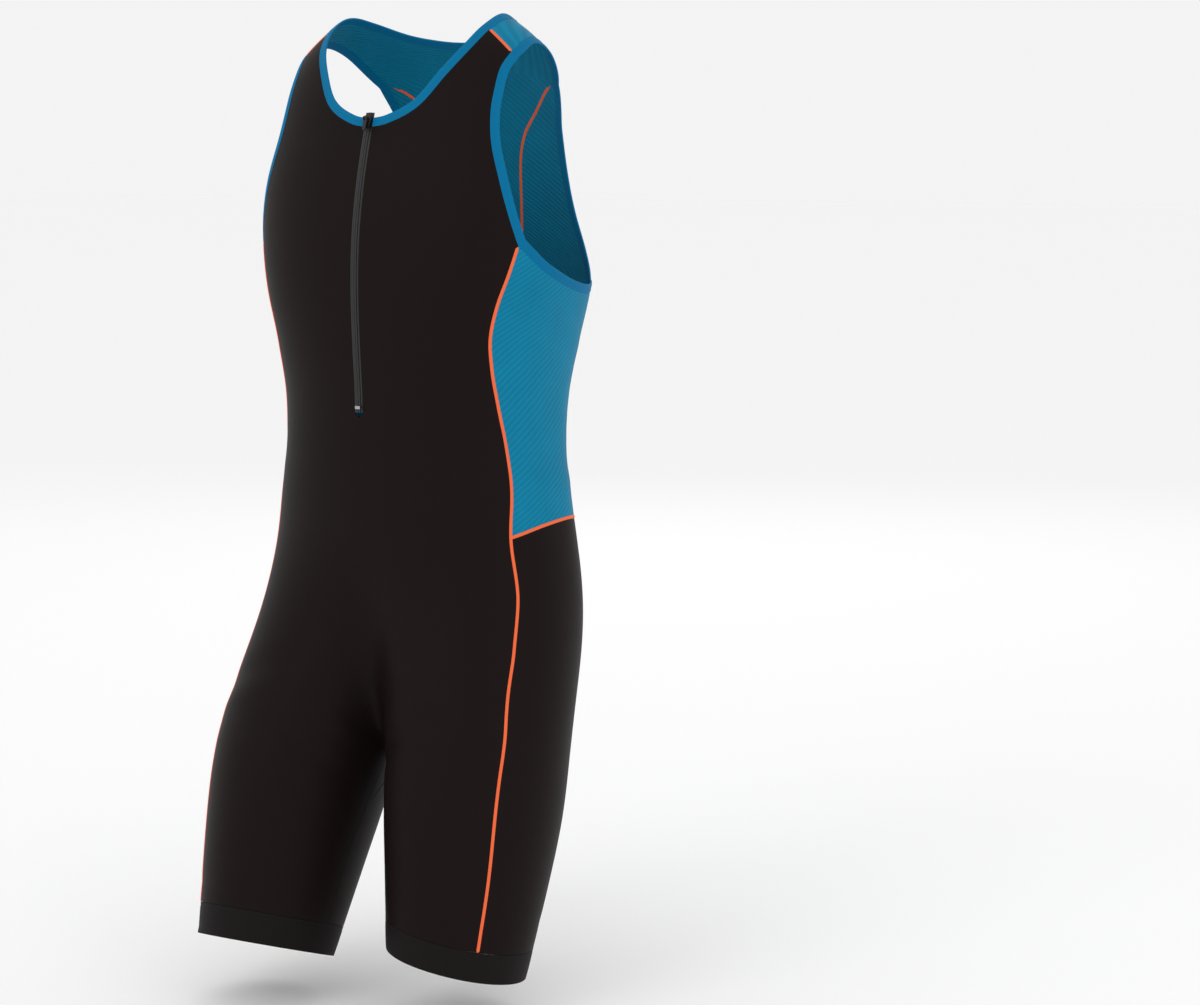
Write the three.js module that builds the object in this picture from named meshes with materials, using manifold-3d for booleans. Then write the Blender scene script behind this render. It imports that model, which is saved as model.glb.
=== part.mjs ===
// Sleeveless triathlon suit with short legs, filled out as worn and caught in a slight stride.
// Millimetres, +Z up, the front faces -Y and the wearer's left is +X.
// The origin lies midway between the shoulder straps, at the height where they rest.

import * as THREE from 'three';
import { mergeVertices } from 'three/addons/utils/BufferGeometryUtils.js';
import Module from 'manifold-3d';

const wasm = await Module();
wasm.setup();

// Driving dimensions
const CLOTH = 1.2; // wall of the knitted panels
const HEM_CLOTH = 1.4; // wall of the leg bands
const BINDING_WIDTH = 8; // elastic edging of the neck and armholes
const BINDING_PROUD = 0.5; // the edging stands this far outside the panels
const BINDING_WALL = 2;
const SEAM = 0.17; // each panel ends this far from its seam line
const SLIT_HALF = 4.9; // half the opening in the front that takes the zip
const ZIP_TOP = 82; // stations of the zip's ends, counted down from the origin
const ZIP_FOOT = 361;
const CHAIN_HALF = 2.2;
const CHAIN_WALL = 2.4;
const CHAIN_PROUD = 0.9;
const TAPE_HALF = 4.6;
const TAPE_WALL = 1;
const TAPE_GAP = 0.3;
const ZIP_ROWS = 20;

// Stations are heights below the origin down the body, then down each leg's own axis.
const FAN = 150; // above this station the rows fan out from one point inside the chest
const FAN_STEP = 0.5; // degrees that a row of the fan rises for each station
const NECK_FRONT = 89;
const SHOULDER_NECK = { v: 38, turn: 72 }; // ends of the shoulder seam
const SHOULDER_ARM = { v: 60, turn: 75 };
const BACK_POINT = { v: 72, turn: 126 }; // where the back seam meets the armhole
const ARM_FRONT_FOOT = 203; // where the front side seam meets the armhole
const ARM_BACK_FOOT = 247;
const SLIT_FOOT = 362;
const SLIT_END = 366;
const HIP_FRONT = 476; // the waist seam, at the front side seam, side back seam and centre back
const HIP_BACK = 472;
const WAIST_PRINCESS = 466;
const WAIST_CENTRE = 460;
const YOKE_SIDE = 558;
const YOKE_CENTRE = 532;
const HEM_SEAM = 852;
const HEM = 880;
const COLUMNS = { front: 9, side: 4, backCentre: 4, backSide: 4, seat: 8 };

// Sections of the body: z height, a half width, f depth in front, b depth behind, n squareness
const TORSO = [
  { z: 40, a: 50, f: 30, b: 40, n: 2.0 },
  { z: 12, a: 86, f: 44, b: 52, n: 2.0 },
  { z: -8, a: 114, f: 60, b: 66, n: 2.0 },
  { z: -30, a: 135, f: 72, b: 82, n: 2.1 },
  { z: -60, a: 149, f: 84, b: 98, n: 2.2 },
  { z: -100, a: 158, f: 96, b: 110, n: 2.3 },
  { z: -150, a: 166, f: 109, b: 119, n: 2.4 },
  { z: -200, a: 167, f: 117, b: 123, n: 2.4 },
  { z: -250, a: 161, f: 119, b: 121, n: 2.4 },
  { z: -300, a: 151, f: 117, b: 114, n: 2.3 },
  { z: -350, a: 144, f: 114, b: 103, n: 2.2 },
  { z: -400, a: 144, f: 115, b: 93, n: 2.2 },
  { z: -450, a: 151, f: 116, b: 91, n: 2.2 },
  { z: -500, a: 156, f: 115, b: 96, n: 2.2 },
  { z: -560, a: 162, f: 117, b: 104, n: 2.2 },
  { z: -620, a: 168, f: 121, b: 108, n: 2.2 },
  { z: -700, a: 172, f: 120, b: 106, n: 2.2 },
];

// Sections of a leg: t distance down its axis, o outer, i inner, f front, b back radius
const LEG = [
  { t: 0, o: 92, i: 84, f: 106, b: 102 },
  { t: 120, o: 92, i: 80, f: 102, b: 100 },
  { t: 200, o: 92, i: 77, f: 95, b: 97 },
  { t: 260, o: 90, i: 73, f: 92, b: 93 },
  { t: 320, o: 83, i: 68, f: 84, b: 84 },
  { t: 410, o: 69, i: 62, f: 69, b: 68 },
];

// The hip joint that each leg's axis starts from, and how far each leg swings, in degrees.
// hemTilt raises the front of the hem, and hemLean lowers its outer side.
const HIP = { x: 76, y: -8, z: -490 };
const LEGS = {
  right: { side: -1, forward: 19.5, out: 2.3, hemTilt: 19, hemLean: 0 },
  left: { side: 1, forward: 12.5, out: 2.3, hemTilt: 9, hemLean: 10 },
};
const LEG_BLEND = { from: 440, to: 690 }; // stations between which the body turns into legs
const ROW_SHIFT = { from: 540, to: 680 }; // stations between which the rows' centre moves to a leg
const HEM_TURN = { from: 690, to: 850 }; // stations between which the rows turn square to a leg
const MELT = 34; // rounding where the legs meet
const INSEAM = { turn: -90, from: 800 }; // the inside leg seam's turn from this station down

// Seams: v station, turn angle round the body from the front (0) over the side (90) to the
// back (180). A row past 180 mirrors the one before it, so that the curve is level there.
const FRONT_SEAM = [
  { v: 203, turn: 66 }, { v: 230, turn: 63 }, { v: 260, turn: 59.5 }, { v: 290, turn: 58 },
  { v: 320, turn: 59.5 }, { v: 352, turn: 62.5 }, { v: 394, turn: 66 }, { v: 430, turn: 67 },
  { v: 476, turn: 65.5 }, { v: 532, turn: 66 }, { v: 579, turn: 61.5 }, { v: 624, turn: 55 },
  { v: 671, turn: 51 }, { v: 718, turn: 49.5 }, { v: 790, turn: 50 }, { v: 852, turn: 49 },
];
const BACK_SEAM = [
  { v: 247, turn: 120 }, { v: 303, turn: 120 }, { v: 343, turn: 122 }, { v: 387, turn: 124.5 },
  { v: 441, turn: 128 }, { v: 472, turn: 124 }, { v: 521, turn: 119 }, { v: 558, turn: 119 },
  { v: 590, turn: 124.5 }, { v: 620, turn: 133 }, { v: 650, turn: 143.5 }, { v: 684, turn: 151.5 },
  { v: 721, turn: 154.5 }, { v: 783, turn: 154.5 }, { v: 829, turn: 152 }, { v: 852, turn: 150 },
];
const PRINCESS = [
  { v: 72, turn: 126 }, { v: 75, turn: 135 }, { v: 87, turn: 147 }, { v: 103, turn: 157.5 },
  { v: 126, turn: 163 }, { v: 170, turn: 165.5 }, { v: 228, turn: 166 }, { v: 277, turn: 164.5 },
  { v: 320, turn: 163 }, { v: 369, turn: 161.5 }, { v: 422, turn: 160 }, { v: 466, turn: 157.5 },
];
const ARM_FRONT = [
  { v: 60, turn: 75 }, { v: 67, turn: 69 }, { v: 78, turn: 65 }, { v: 95, turn: 61.5 },
  { v: 120, turn: 60 }, { v: 154, turn: 61.5 }, { v: 180, turn: 63.5 }, { v: 203, turn: 66 },
];
const ARM_BACK = [
  { v: 72, turn: 126 }, { v: 88, turn: 132.5 }, { v: 105, turn: 137 }, { v: 142, turn: 140 },
  { v: 182, turn: 137.5 }, { v: 219, turn: 129.5 }, { v: 247, turn: 120 },
];
const ARM_FOOT = [
  { turn: 66, v: 203 }, { turn: 75, v: 225 }, { turn: 86, v: 240 }, { turn: 98, v: 249 },
  { turn: 109, v: 251 }, { turn: 120, v: 247 },
];
const STRAP_EDGE = [
  { turn: 75, v: 60 }, { turn: 90, v: 51 }, { turn: 107, v: 55 }, { turn: 126, v: 72 },
];
const NECKLINE = [
  { turn: 2.5, v: 89 }, { turn: 12, v: 87 }, { turn: 30, v: 77 }, { turn: 45, v: 59 },
  { turn: 60, v: 46 }, { turn: 72, v: 38 }, { turn: 90, v: 32 }, { turn: 108, v: 32 },
  { turn: 131, v: 32 }, { turn: 155, v: 29.5 }, { turn: 180, v: 28.5 },
  { turn: 205, v: 29.5 },
];
const SIDE_WAIST = [
  { turn: 65.5, v: 476 }, { turn: 80, v: 467 }, { turn: 95, v: 464 }, { turn: 110, v: 468 },
  { turn: 124, v: 472 },
];
const BACK_WAIST = [
  { turn: 124, v: 472 }, { turn: 137, v: 470 }, { turn: 157.5, v: 466 }, { turn: 180, v: 460 },
  { turn: 202.5, v: 466 },
];
const YOKE_SEAM = [
  { turn: 119, v: 558 }, { turn: 127, v: 556 }, { turn: 137, v: 551 }, { turn: 156, v: 541 },
  { turn: 180, v: 532 }, { turn: 204, v: 541 },
];

const RAD = Math.PI / 180;

// Reads a column of a table as a smooth curve through its rows.
function read(table, key, value, column) {
  const falling = table[1][key] < table[0][key];
  let i = 0;
  while (i < table.length - 2) {
    const next = table[i + 1][key];
    if (falling ? value >= next : value <= next) break;
    i += 1;
  }
  const row = (k) => table[Math.max(0, Math.min(table.length - 1, k))];
  const slope = (k) => (row(k + 1)[column] - row(k - 1)[column]) / (row(k + 1)[key] - row(k - 1)[key]);
  const [p, q] = [table[i], table[i + 1]];
  const step = q[key] - p[key];
  const u = Math.max(0, Math.min(1, (value - p[key]) / step));
  const rise = 3 * u * u - 2 * u * u * u;
  const leave = u * (1 - u) * (1 - u) * slope(i) * step;
  const arrive = u * u * (u - 1) * slope(i + 1) * step;
  return p[column] * (1 - rise) + q[column] * rise + leave + arrive;
}

function ease(from, to, value) {
  const t = Math.max(0, Math.min(1, (value - from) / (to - from)));
  return t * t * (3 - 2 * t);
}

const mix = (p, q, u) => p + (q - p) * u;

// Each leg's axis: its direction, and how far it moves for each millimetre down
const AXES = {};
for (const [name, leg] of Object.entries(LEGS)) {
  const fall = new THREE.Vector3(leg.side * Math.tan(leg.out * RAD), -Math.tan(leg.forward * RAD), -1);
  AXES[name] = { ...leg, fall, along: fall.clone().normalize() };
}

function axisPoint(name, v) {
  const { side, fall } = AXES[name];
  const down = HIP.z + v;
  return new THREE.Vector3(side * HIP.x + fall.x * down, HIP.y + fall.y * down, -v);
}

// Signed measure of a point against the trunk: nothing on its surface, positive outside
function trunk(p) {
  const a = read(TORSO, 'z', p.z, 'a');
  const n = read(TORSO, 'z', p.z, 'n');
  const d = read(TORSO, 'z', p.z, p.y < 0 ? 'f' : 'b');
  return 130 * (Math.pow(Math.pow(Math.abs(p.x) / a, n) + Math.pow(Math.abs(p.y) / d, n), 1 / n) - 1);
}

function limb(name, p) {
  const { side, along } = AXES[name];
  const q = new THREE.Vector3(p.x - side * HIP.x, p.y - HIP.y, p.z - HIP.z);
  const t = q.dot(along);
  q.addScaledVector(along, -t);
  const out = q.x * side;
  const forward = -Math.sign(q.y) * Math.hypot(q.y, q.z);
  const across = read(LEG, 't', t, out > 0 ? 'o' : 'i');
  const depth = read(LEG, 't', t, forward > 0 ? 'f' : 'b');
  return 85 * (Math.hypot(out / across, forward / depth) - 1);
}

// The whole figure: the trunk turns into two limbs that melt together at the top.
function form(p) {
  const share = ease(LEG_BLEND.from, LEG_BLEND.to, -p.z);
  if (share === 0) return trunk(p);
  const [r, l] = [limb('right', p), limb('left', p)];
  const near = Math.max(MELT - Math.abs(r - l), 0) / MELT;
  const legs = Math.min(r, l) - near * near * MELT / 4;
  return share === 1 ? legs : mix(trunk(p), legs, share);
}

function gradient(p) {
  const h = 0.5;
  const side = (x, y, z) => form(new THREE.Vector3(p.x + x, p.y + y, p.z + z));
  return new THREE.Vector3(
    side(h, 0, 0) - side(-h, 0, 0),
    side(0, h, 0) - side(0, -h, 0),
    side(0, 0, h) - side(0, 0, -h),
  ).divideScalar(2 * h);
}

const normalAt = (p) => gradient(p).normalize();

// Brings a nearby point back onto the figure.
function settle(p) {
  for (let i = 0; i < 4; i += 1) {
    const g = gradient(p);
    p.addScaledVector(g, -form(p) / g.lengthSq());
  }
  return p;
}

// First distance along a ray at which it leaves the figure, no further than a limit
function reach(origin, ray, limit = Infinity) {
  const at = (r) => form(origin.clone().addScaledVector(ray, r));
  let r = 0;
  while (r + 4 < limit && at(r + 4) < 0) r += 4;
  let [low, high] = [r, Math.min(r + 4, limit)];
  for (let i = 0; i < 40; i += 1) {
    const middle = (low + high) / 2;
    if (at(middle) < 0) low = middle;
    else high = middle;
  }
  return (low + high) / 2;
}

// A row's centre, its forward and outward directions and how far it rises
function rowAt(v, name) {
  const { side, hemTilt, hemLean } = LEGS[name];
  const shift = ease(ROW_SHIFT.from, ROW_SHIFT.to, v);
  const axis = axisPoint(name, v);
  const turned = ease(HEM_TURN.from, HEM_TURN.to, v) * RAD;
  const centre = new THREE.Vector3(axis.x * shift, axis.y * shift, -Math.max(v, FAN));
  const forward = new THREE.Vector3(0, -Math.cos(hemTilt * turned), Math.sin(hemTilt * turned));
  const outward = new THREE.Vector3(side * Math.cos(hemLean * turned), 0, -Math.sin(hemLean * turned));
  const lift = Math.max(FAN - v, 0) * FAN_STEP * RAD;
  return { centre, forward, outward, lift };
}

// Point of the figure at a station and turn, on the wearer's right or left
function place(v, turn, name) {
  const { centre, forward, outward, lift } = rowAt(v, name);
  const ray = forward.clone().multiplyScalar(Math.cos(turn * RAD));
  ray.addScaledVector(outward, Math.sin(turn * RAD));
  ray.multiplyScalar(Math.cos(lift));
  ray.z += Math.sin(lift);
  const inward = centre.x * ray.x < 0;
  return centre.addScaledVector(ray, reach(centre, ray, inward ? -centre.x / ray.x : Infinity));
}

// The depth profile on the plane of symmetry, and the crotch, where its two sides meet
function fork() {
  const shallow = (z) => {
    let best = { y: 0, value: Infinity };
    for (let y = -140; y <= 60; y += 0.5) {
      const value = form(new THREE.Vector3(0, y, z));
      if (value < best.value) best = { y, value };
    }
    return best;
  };
  let [high, low] = [-600, -800];
  for (let i = 0; i < 24; i += 1) {
    const middle = (high + low) / 2;
    if (shallow(middle).value < 0) high = middle;
    else low = middle;
  }
  return new THREE.Vector3(0, shallow(high).y, high);
}

const CROTCH = fork();
const CROTCH_V = -CROTCH.z;
const midline = new Map();

// Point on the plane of symmetry, way -1 in front and 1 behind
function middle(v, way) {
  const key = `${v.toFixed(4)} ${way}`;
  if (!midline.has(key)) {
    const y = CROTCH.y * ease(ROW_SHIFT.from, CROTCH_V, v);
    const centre = new THREE.Vector3(0, y, -v);
    const ray = new THREE.Vector3(0, way, 0);
    const atCrotch = Math.abs(v - CROTCH_V) < 0.01;
    midline.set(key, atCrotch ? CROTCH.clone() : centre.addScaledVector(ray, reach(centre, ray)));
  }
  return midline.get(key).clone();
}

function turnOf(p, v, name) {
  const { centre } = rowAt(v, name);
  return Math.atan2((p.x - centre.x) * LEGS[name].side, centre.y - p.y) / RAD;
}

// Turn of the innermost point of a row: the middle of the body, then the inside leg seam
function startTurn(v, name) {
  if (v <= CROTCH_V) return turnOf(middle(v, -1), v, name);
  const atCrotch = turnOf(CROTCH, CROTCH_V, name);
  return mix(atCrotch, INSEAM.turn, ease(CROTCH_V, INSEAM.from, v));
}

function endTurn(v, name) {
  if (v >= CROTCH_V - 0.01) return startTurn(v, name) + 360;
  const turn = turnOf(middle(v, 1), v, name);
  return turn < 0 ? turn + 360 : turn;
}

const slitTurn = (v) => Math.asin(SLIT_HALF / Math.abs(place(v, 0, 'left').y)) / RAD;

// Even steps from one value to another, both included
const steps = (from, to, count) => Array.from({ length: count + 1 }, (_, i) => mix(from, to, i / count));
const joinLists = (...lists) => lists.flatMap((list, i) => (i ? list.slice(1) : list));

// Rows of each stretch, the same on both sides of a seam
const ROWS = {
  neck: 6, chest: 8, slit: 8, slitEnd: 1, belly: 5, torso: 14, yoke: 4, leg: 16, arm: 8, fork: 7,
};
const PRINCESS_ROWS = ROWS.arm + ROWS.torso;
const torsoFront = joinLists(steps(ARM_FRONT_FOOT, SLIT_FOOT, ROWS.slit),
  steps(SLIT_FOOT, SLIT_END, ROWS.slitEnd), steps(SLIT_END, HIP_FRONT, ROWS.belly));
const legFront = joinLists(steps(HIP_FRONT, YOKE_SIDE, ROWS.yoke),
  steps(YOKE_SIDE, HEM_SEAM, ROWS.leg));
const torsoBack = steps(ARM_BACK_FOOT, HIP_BACK, ROWS.torso);
const legBack = joinLists(steps(HIP_BACK, YOKE_SIDE, ROWS.yoke),
  steps(YOKE_SIDE, HEM_SEAM, ROWS.leg));

// Rows gather towards the crotch, above it by a square and below it by this power.
const BELOW_POWER = 1.5;
const aboveFork = (from, count) => steps(1, 0, count).map((u) => CROTCH_V - (CROTCH_V - from) * u * u);
const belowFork = steps(0, 1, ROWS.fork)
  .map((u) => CROTCH_V + (HEM_SEAM - CROTCH_V) * Math.pow(u, BELOW_POWER));
const inside = (from, count) => joinLists(aboveFork(from, count), belowFork);

const onSeam = (table) => (v) => ({ v, turn: read(table, 'v', v, 'turn') });
const frontSeam = onSeam(FRONT_SEAM);
const backSeam = onSeam(BACK_SEAM);
const princess = onSeam(PRINCESS);
const armFront = onSeam(ARM_FRONT);
const armBack = onSeam(ARM_BACK);
const onCurve = (table) => (turn) => ({ v: read(table, 'turn', turn, 'v'), turn });
const neckline = onCurve(NECKLINE);
const strapEdge = onCurve(STRAP_EDGE);

// A four-sided panel between two edges with as many marks each. Its rows run straight from
// mark to mark, and bend towards the ends where the top or bottom edge is a curve.
function panel(left, right, columns, top, bottom) {
  const last = left.length - 1;
  const bulge = (curve, row, u) => {
    if (!curve) return 0;
    const turn = mix(left[row].turn, right[row].turn, u);
    return read(curve, 'turn', turn, 'v') - mix(left[row].v, right[row].v, u);
  };
  return left.map((start, i) => {
    const end = right[i];
    return steps(0, 1, columns).map((u) => ({
      v: mix(start.v, end.v, u) + bulge(top, 0, u) * (1 - i / last) + bulge(bottom, last, u) * (i / last),
      turn: mix(start.turn, end.turn, u),
      first: u === 0 ? start.middle : undefined,
      last: u === 1 ? end.middle : undefined,
    }));
  });
}

function toPoints(rows, name) {
  return rows.map((row) => row.map((mark) => {
    const way = mark.first ?? mark.last;
    return way ? middle(mark.v, way) : place(mark.v, mark.turn, name);
  }));
}

// Marks down the middle of the front or back, and on down the inside leg seam
function innerMark(v, way, name) {
  const turn = way < 0 ? startTurn(v, name) : endTurn(v, name);
  return { v, turn, middle: v <= CROTCH_V + 0.01 ? way : undefined };
}

function facesOut(points, [a, b, c]) {
  const across = points[b].clone().sub(points[a]).cross(points[c].clone().sub(points[a]));
  return across.dot(normalAt(points[a])) > 0;
}

// Welds grids of points into one sheet of triangles whose faces point out of the figure.
function weld(grids) {
  const points = [];
  const index = new Map();
  const find = (p) => {
    for (const dx of [0, -1, 1]) {
      for (const dy of [0, -1, 1]) {
        const key = `${Math.round(p.x * 50) + dx} ${Math.round(p.y * 50) + dy} ${Math.round(p.z * 50)}`;
        if (index.has(key)) return index.get(key);
      }
    }
    index.set(`${Math.round(p.x * 50)} ${Math.round(p.y * 50)} ${Math.round(p.z * 50)}`, points.length);
    points.push(p);
    return points.length - 1;
  };
  const faces = [];
  for (const grid of grids) {
    const ids = grid.map((row) => row.map(find));
    const own = [];
    for (let i = 0; i + 1 < ids.length; i += 1) {
      for (let j = 0; j + 1 < ids[i].length; j += 1) {
        own.push([ids[i][j], ids[i][j + 1], ids[i + 1][j + 1]]);
        own.push([ids[i][j], ids[i + 1][j + 1], ids[i + 1][j]]);
      }
    }
    const whole = own.filter(([a, b, c]) => a !== b && b !== c && a !== c);
    const outward = whole.filter((face) => facesOut(points, face)).length * 2 > whole.length;
    faces.push(...whole.map(([a, b, c]) => (outward ? [a, b, c] : [a, c, b])));
  }
  return { points, faces };
}

function edgesOf(faces) {
  const seen = new Set(faces.flatMap(([a, b, c]) => [`${a} ${b}`, `${b} ${c}`, `${c} ${a}`]));
  const open = [];
  for (const [a, b, c] of faces) {
    for (const [p, q] of [[a, b], [b, c], [c, a]]) {
      if (!seen.has(`${q} ${p}`)) open.push([p, q]);
    }
  }
  return open;
}

// Draws the open edges of a sheet back from their seam lines, along the figure.
function drawBack(points, edges, gap) {
  const pulls = new Map();
  for (const [a, b] of edges) {
    const along = points[b].clone().sub(points[a]);
    for (const k of [a, b]) {
      const inward = normalAt(points[k]).cross(along).normalize();
      pulls.set(k, [...(pulls.get(k) ?? []), inward]);
    }
  }
  for (const [k, [one, two]] of pulls) {
    const pull = one.clone().add(two).divideScalar(Math.max(1 + one.dot(two), 0.25));
    points[k] = settle(points[k].clone().addScaledVector(pull, gap));
  }
}

// A wall from a sheet: its outer face stands proud of the figure, its inner face lies inside it.
function wall(sheet, proud, thick) {
  const { points, faces } = sheet;
  const count = points.length;
  const outer = points.map((p) => p.clone().addScaledVector(normalAt(p), proud));
  const inner = points.map((p) => p.clone().addScaledVector(normalAt(p), proud - thick));
  const triangles = [...faces, ...faces.map(([a, b, c]) => [a + count, c + count, b + count])];
  for (const [a, b] of edgesOf(faces)) triangles.push([b, a, a + count], [b, a + count, b + count]);
  return solid([...outer, ...inner], triangles);
}

function solid(points, triangles) {
  const geometry = new THREE.BufferGeometry();
  const values = points.flatMap((p) => [p.x, p.y, p.z]);
  geometry.setAttribute('position', new THREE.Float32BufferAttribute(values, 3));
  geometry.setIndex(triangles.flat());
  geometry.computeVertexNormals();
  return geometry;
}

function cloth(grids, thick = CLOTH) {
  const sheet = weld(grids);
  drawBack(sheet.points, edgesOf(sheet.faces), SEAM);
  return wall(sheet, 0, thick);
}

const FINISH = {
  black: { color: '#1f1614', roughness: 0.78, metalness: 0 },
  blue: { color: '#007ca4', roughness: 0.7, metalness: 0 },
  edging: { color: '#006aa0', roughness: 0.72, metalness: 0 },
  band: { color: '#181415', roughness: 0.8, metalness: 0 },
  nylon: { color: '#101012', roughness: 0.45, metalness: 0 },
  metal: { color: '#17171a', roughness: 0.38, metalness: 0.6 },
  steel: { color: '#8f9297', roughness: 0.3, metalness: 1 },
};

function part(name, geometry, finish) {
  const mesh = new THREE.Mesh(geometry, new THREE.MeshStandardMaterial(FINISH[finish]));
  mesh.name = name;
  return mesh;
}

// The front: one piece from the neck to both leg bands, slit down the middle for the zip
function frontHalf(name) {
  const legStations = inside(HIP_FRONT, ROWS.yoke + ROWS.leg - ROWS.fork);
  const slitMark = (v) => ({ v, turn: slitTurn(v) });
  const neck = steps(SHOULDER_NECK.turn, slitTurn(NECK_FRONT), ROWS.neck).map(neckline);
  neck[ROWS.neck] = slitMark(NECK_FRONT);
  const upperLeft = joinLists(neck, steps(NECK_FRONT, ARM_FRONT_FOOT, ROWS.chest).map(slitMark));
  const upperRight = steps(SHOULDER_ARM.v, ARM_FRONT_FOOT, ROWS.neck + ROWS.chest).map(armFront);
  const torsoLeft = torsoFront.map((v) => (v < SLIT_END ? slitMark(v) : innerMark(v, -1, name)));
  const legLeft = legStations.map((v) => innerMark(v, -1, name));
  return [
    panel(upperLeft, upperRight, COLUMNS.front),
    panel(torsoLeft, torsoFront.map(frontSeam), COLUMNS.front),
    panel(legLeft, legFront.map(frontSeam), COLUMNS.front),
  ].map((rows) => toPoints(rows, name));
}

// The coloured side, from the armhole down to the waist seam
function side(name) {
  const rows = panel(torsoFront.map(frontSeam), torsoBack.map(backSeam), COLUMNS.side, ARM_FOOT, SIDE_WAIST);
  return [toPoints(rows, name)];
}

// The side of a leg, from the waist seam to the leg band
function legSide(name) {
  return [toPoints(panel(legFront.map(frontSeam), legBack.map(backSeam), COLUMNS.side, SIDE_WAIST), name)];
}

// The middle of the back, which runs over both shoulders to the shoulder seams
function backCentreHalf(name) {
  const neck = steps(SHOULDER_NECK.turn, 180, ROWS.neck).map(neckline);
  const centre = steps(neck[ROWS.neck].v, WAIST_CENTRE, PRINCESS_ROWS)
    .map((v) => ({ v, turn: 180, middle: v < FAN ? undefined : 1 }));
  const strap = steps(SHOULDER_ARM.turn, BACK_POINT.turn, ROWS.neck).map(strapEdge);
  const seam = steps(BACK_POINT.v, WAIST_PRINCESS, PRINCESS_ROWS).map(princess);
  const rows = panel(joinLists(neck, centre), joinLists(strap, seam), COLUMNS.backCentre, null, BACK_WAIST);
  return [toPoints(rows, name)];
}

// A side of the back, which comes to a point at the armhole
function backSide(name) {
  const seam = steps(BACK_POINT.v, WAIST_PRINCESS, PRINCESS_ROWS).map(princess);
  const arm = steps(BACK_POINT.v, ARM_BACK_FOOT, ROWS.arm).map(armBack);
  const outer = joinLists(arm, torsoBack.map(backSeam));
  return [toPoints(panel(outer, seam, COLUMNS.backSide, null, BACK_WAIST), name)];
}

function yokeHalf(name) {
  const outer = steps(HIP_BACK, YOKE_SIDE, ROWS.yoke).map(backSeam);
  const centre = steps(WAIST_CENTRE, YOKE_CENTRE, ROWS.yoke).map((v) => innerMark(v, 1, name));
  const columns = COLUMNS.backCentre + COLUMNS.backSide;
  return toPoints(yokeRows(outer, centre, columns), name);
}

// The yoke's top keeps the marks of the two back panels that it meets.
function yokeRows(outer, centre, columns) {
  const seamTurn = read(PRINCESS, 'v', WAIST_PRINCESS, 'turn');
  const rows = panel(outer, centre, columns, BACK_WAIST, YOKE_SEAM);
  const half = COLUMNS.backSide;
  rows.forEach((row, i) => row.forEach((mark, j) => {
    const even = mix(outer[i].turn, centre[i].turn, j / columns);
    const kept = j <= half
      ? mix(outer[i].turn, seamTurn, j / half)
      : mix(seamTurn, centre[i].turn, (j - half) / (columns - half));
    mark.turn = mix(kept, even, i / (rows.length - 1));
    if (i === 0) mark.v = read(BACK_WAIST, 'turn', mark.turn, 'v');
  }));
  return rows;
}

// The seat and the backs of both legs
function seatHalf(name) {
  const outer = steps(YOKE_SIDE, HEM_SEAM, ROWS.leg).map(backSeam);
  const inner = inside(YOKE_CENTRE, ROWS.leg - ROWS.fork).map((v) => innerMark(v, 1, name));
  return toPoints(panel(outer, inner, COLUMNS.seat, YOKE_SEAM), name);
}

// The band round a leg, in step with the panels above it
function legBand(name) {
  const turns = joinLists(
    steps(startTurn(HEM_SEAM, name), frontSeam(HEM_SEAM).turn, COLUMNS.front),
    steps(frontSeam(HEM_SEAM).turn, backSeam(HEM_SEAM).turn, COLUMNS.side),
    steps(backSeam(HEM_SEAM).turn, endTurn(HEM_SEAM, name), COLUMNS.seat),
  );
  const ring = (v) => turns.map((turn) => place(v, turn, name));
  const sheet = weld([steps(HEM_SEAM, HEM, 2).map(ring)]);
  drawBack(sheet.points, edgesOf(sheet.faces), SEAM);
  return wall(sheet, 0, HEM_CLOTH);
}

// Edging: a strip that goes on from the panels' edge into the opening. An open strip's two
// ends are square to the zip.
function edging(chain, closed, towards) {
  const count = chain.length;
  const strip = chain.map((p, i) => {
    const before = chain[closed ? (i + count - 1) % count : Math.max(i - 1, 0)];
    const after = chain[closed ? (i + 1) % count : Math.min(i + 1, count - 1)];
    const along = after.clone().sub(before).normalize();
    if (!closed && (i === 0 || i === count - 1)) along.set(Math.sign(along.x) || 1, 0, 0);
    const into = normalAt(p).cross(along).normalize().multiplyScalar(towards);
    return [SEAM, BINDING_WIDTH / 2, BINDING_WIDTH].map((d) => settle(p.clone().addScaledVector(into, d)));
  });
  if (closed) strip.push(strip[0]);
  return wall(weld([strip]), BINDING_PROUD, BINDING_WALL);
}

function armEdge(name) {
  const [foot, last] = [ARM_FOOT[0], ARM_FOOT[ARM_FOOT.length - 1]];
  const marks = joinLists(
    steps(SHOULDER_ARM.v, ARM_FRONT_FOOT, ROWS.neck + ROWS.chest).map(armFront),
    steps(foot.turn, last.turn, COLUMNS.side).map(onCurve(ARM_FOOT)),
    steps(ARM_BACK_FOOT, BACK_POINT.v, ROWS.arm).map(armBack),
    steps(BACK_POINT.turn, SHOULDER_ARM.turn, ROWS.neck).map(strapEdge),
  );
  return edging(marks.slice(0, -1).map((m) => place(m.v, m.turn, name)), true, LEGS[name].side);
}

function neckEdge() {
  const half = (name) => {
    const front = steps(SHOULDER_NECK.turn, slitTurn(NECK_FRONT), ROWS.neck).map(neckline);
    front[ROWS.neck] = { v: NECK_FRONT, turn: slitTurn(NECK_FRONT) };
    const back = steps(SHOULDER_NECK.turn, 180, ROWS.neck).map(neckline);
    return joinLists(front.reverse(), back).map((m) => place(m.v, m.turn, name));
  };
  const chain = joinLists(half('left'), half('right').reverse());
  return edging(chain, false, 1);
}

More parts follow.
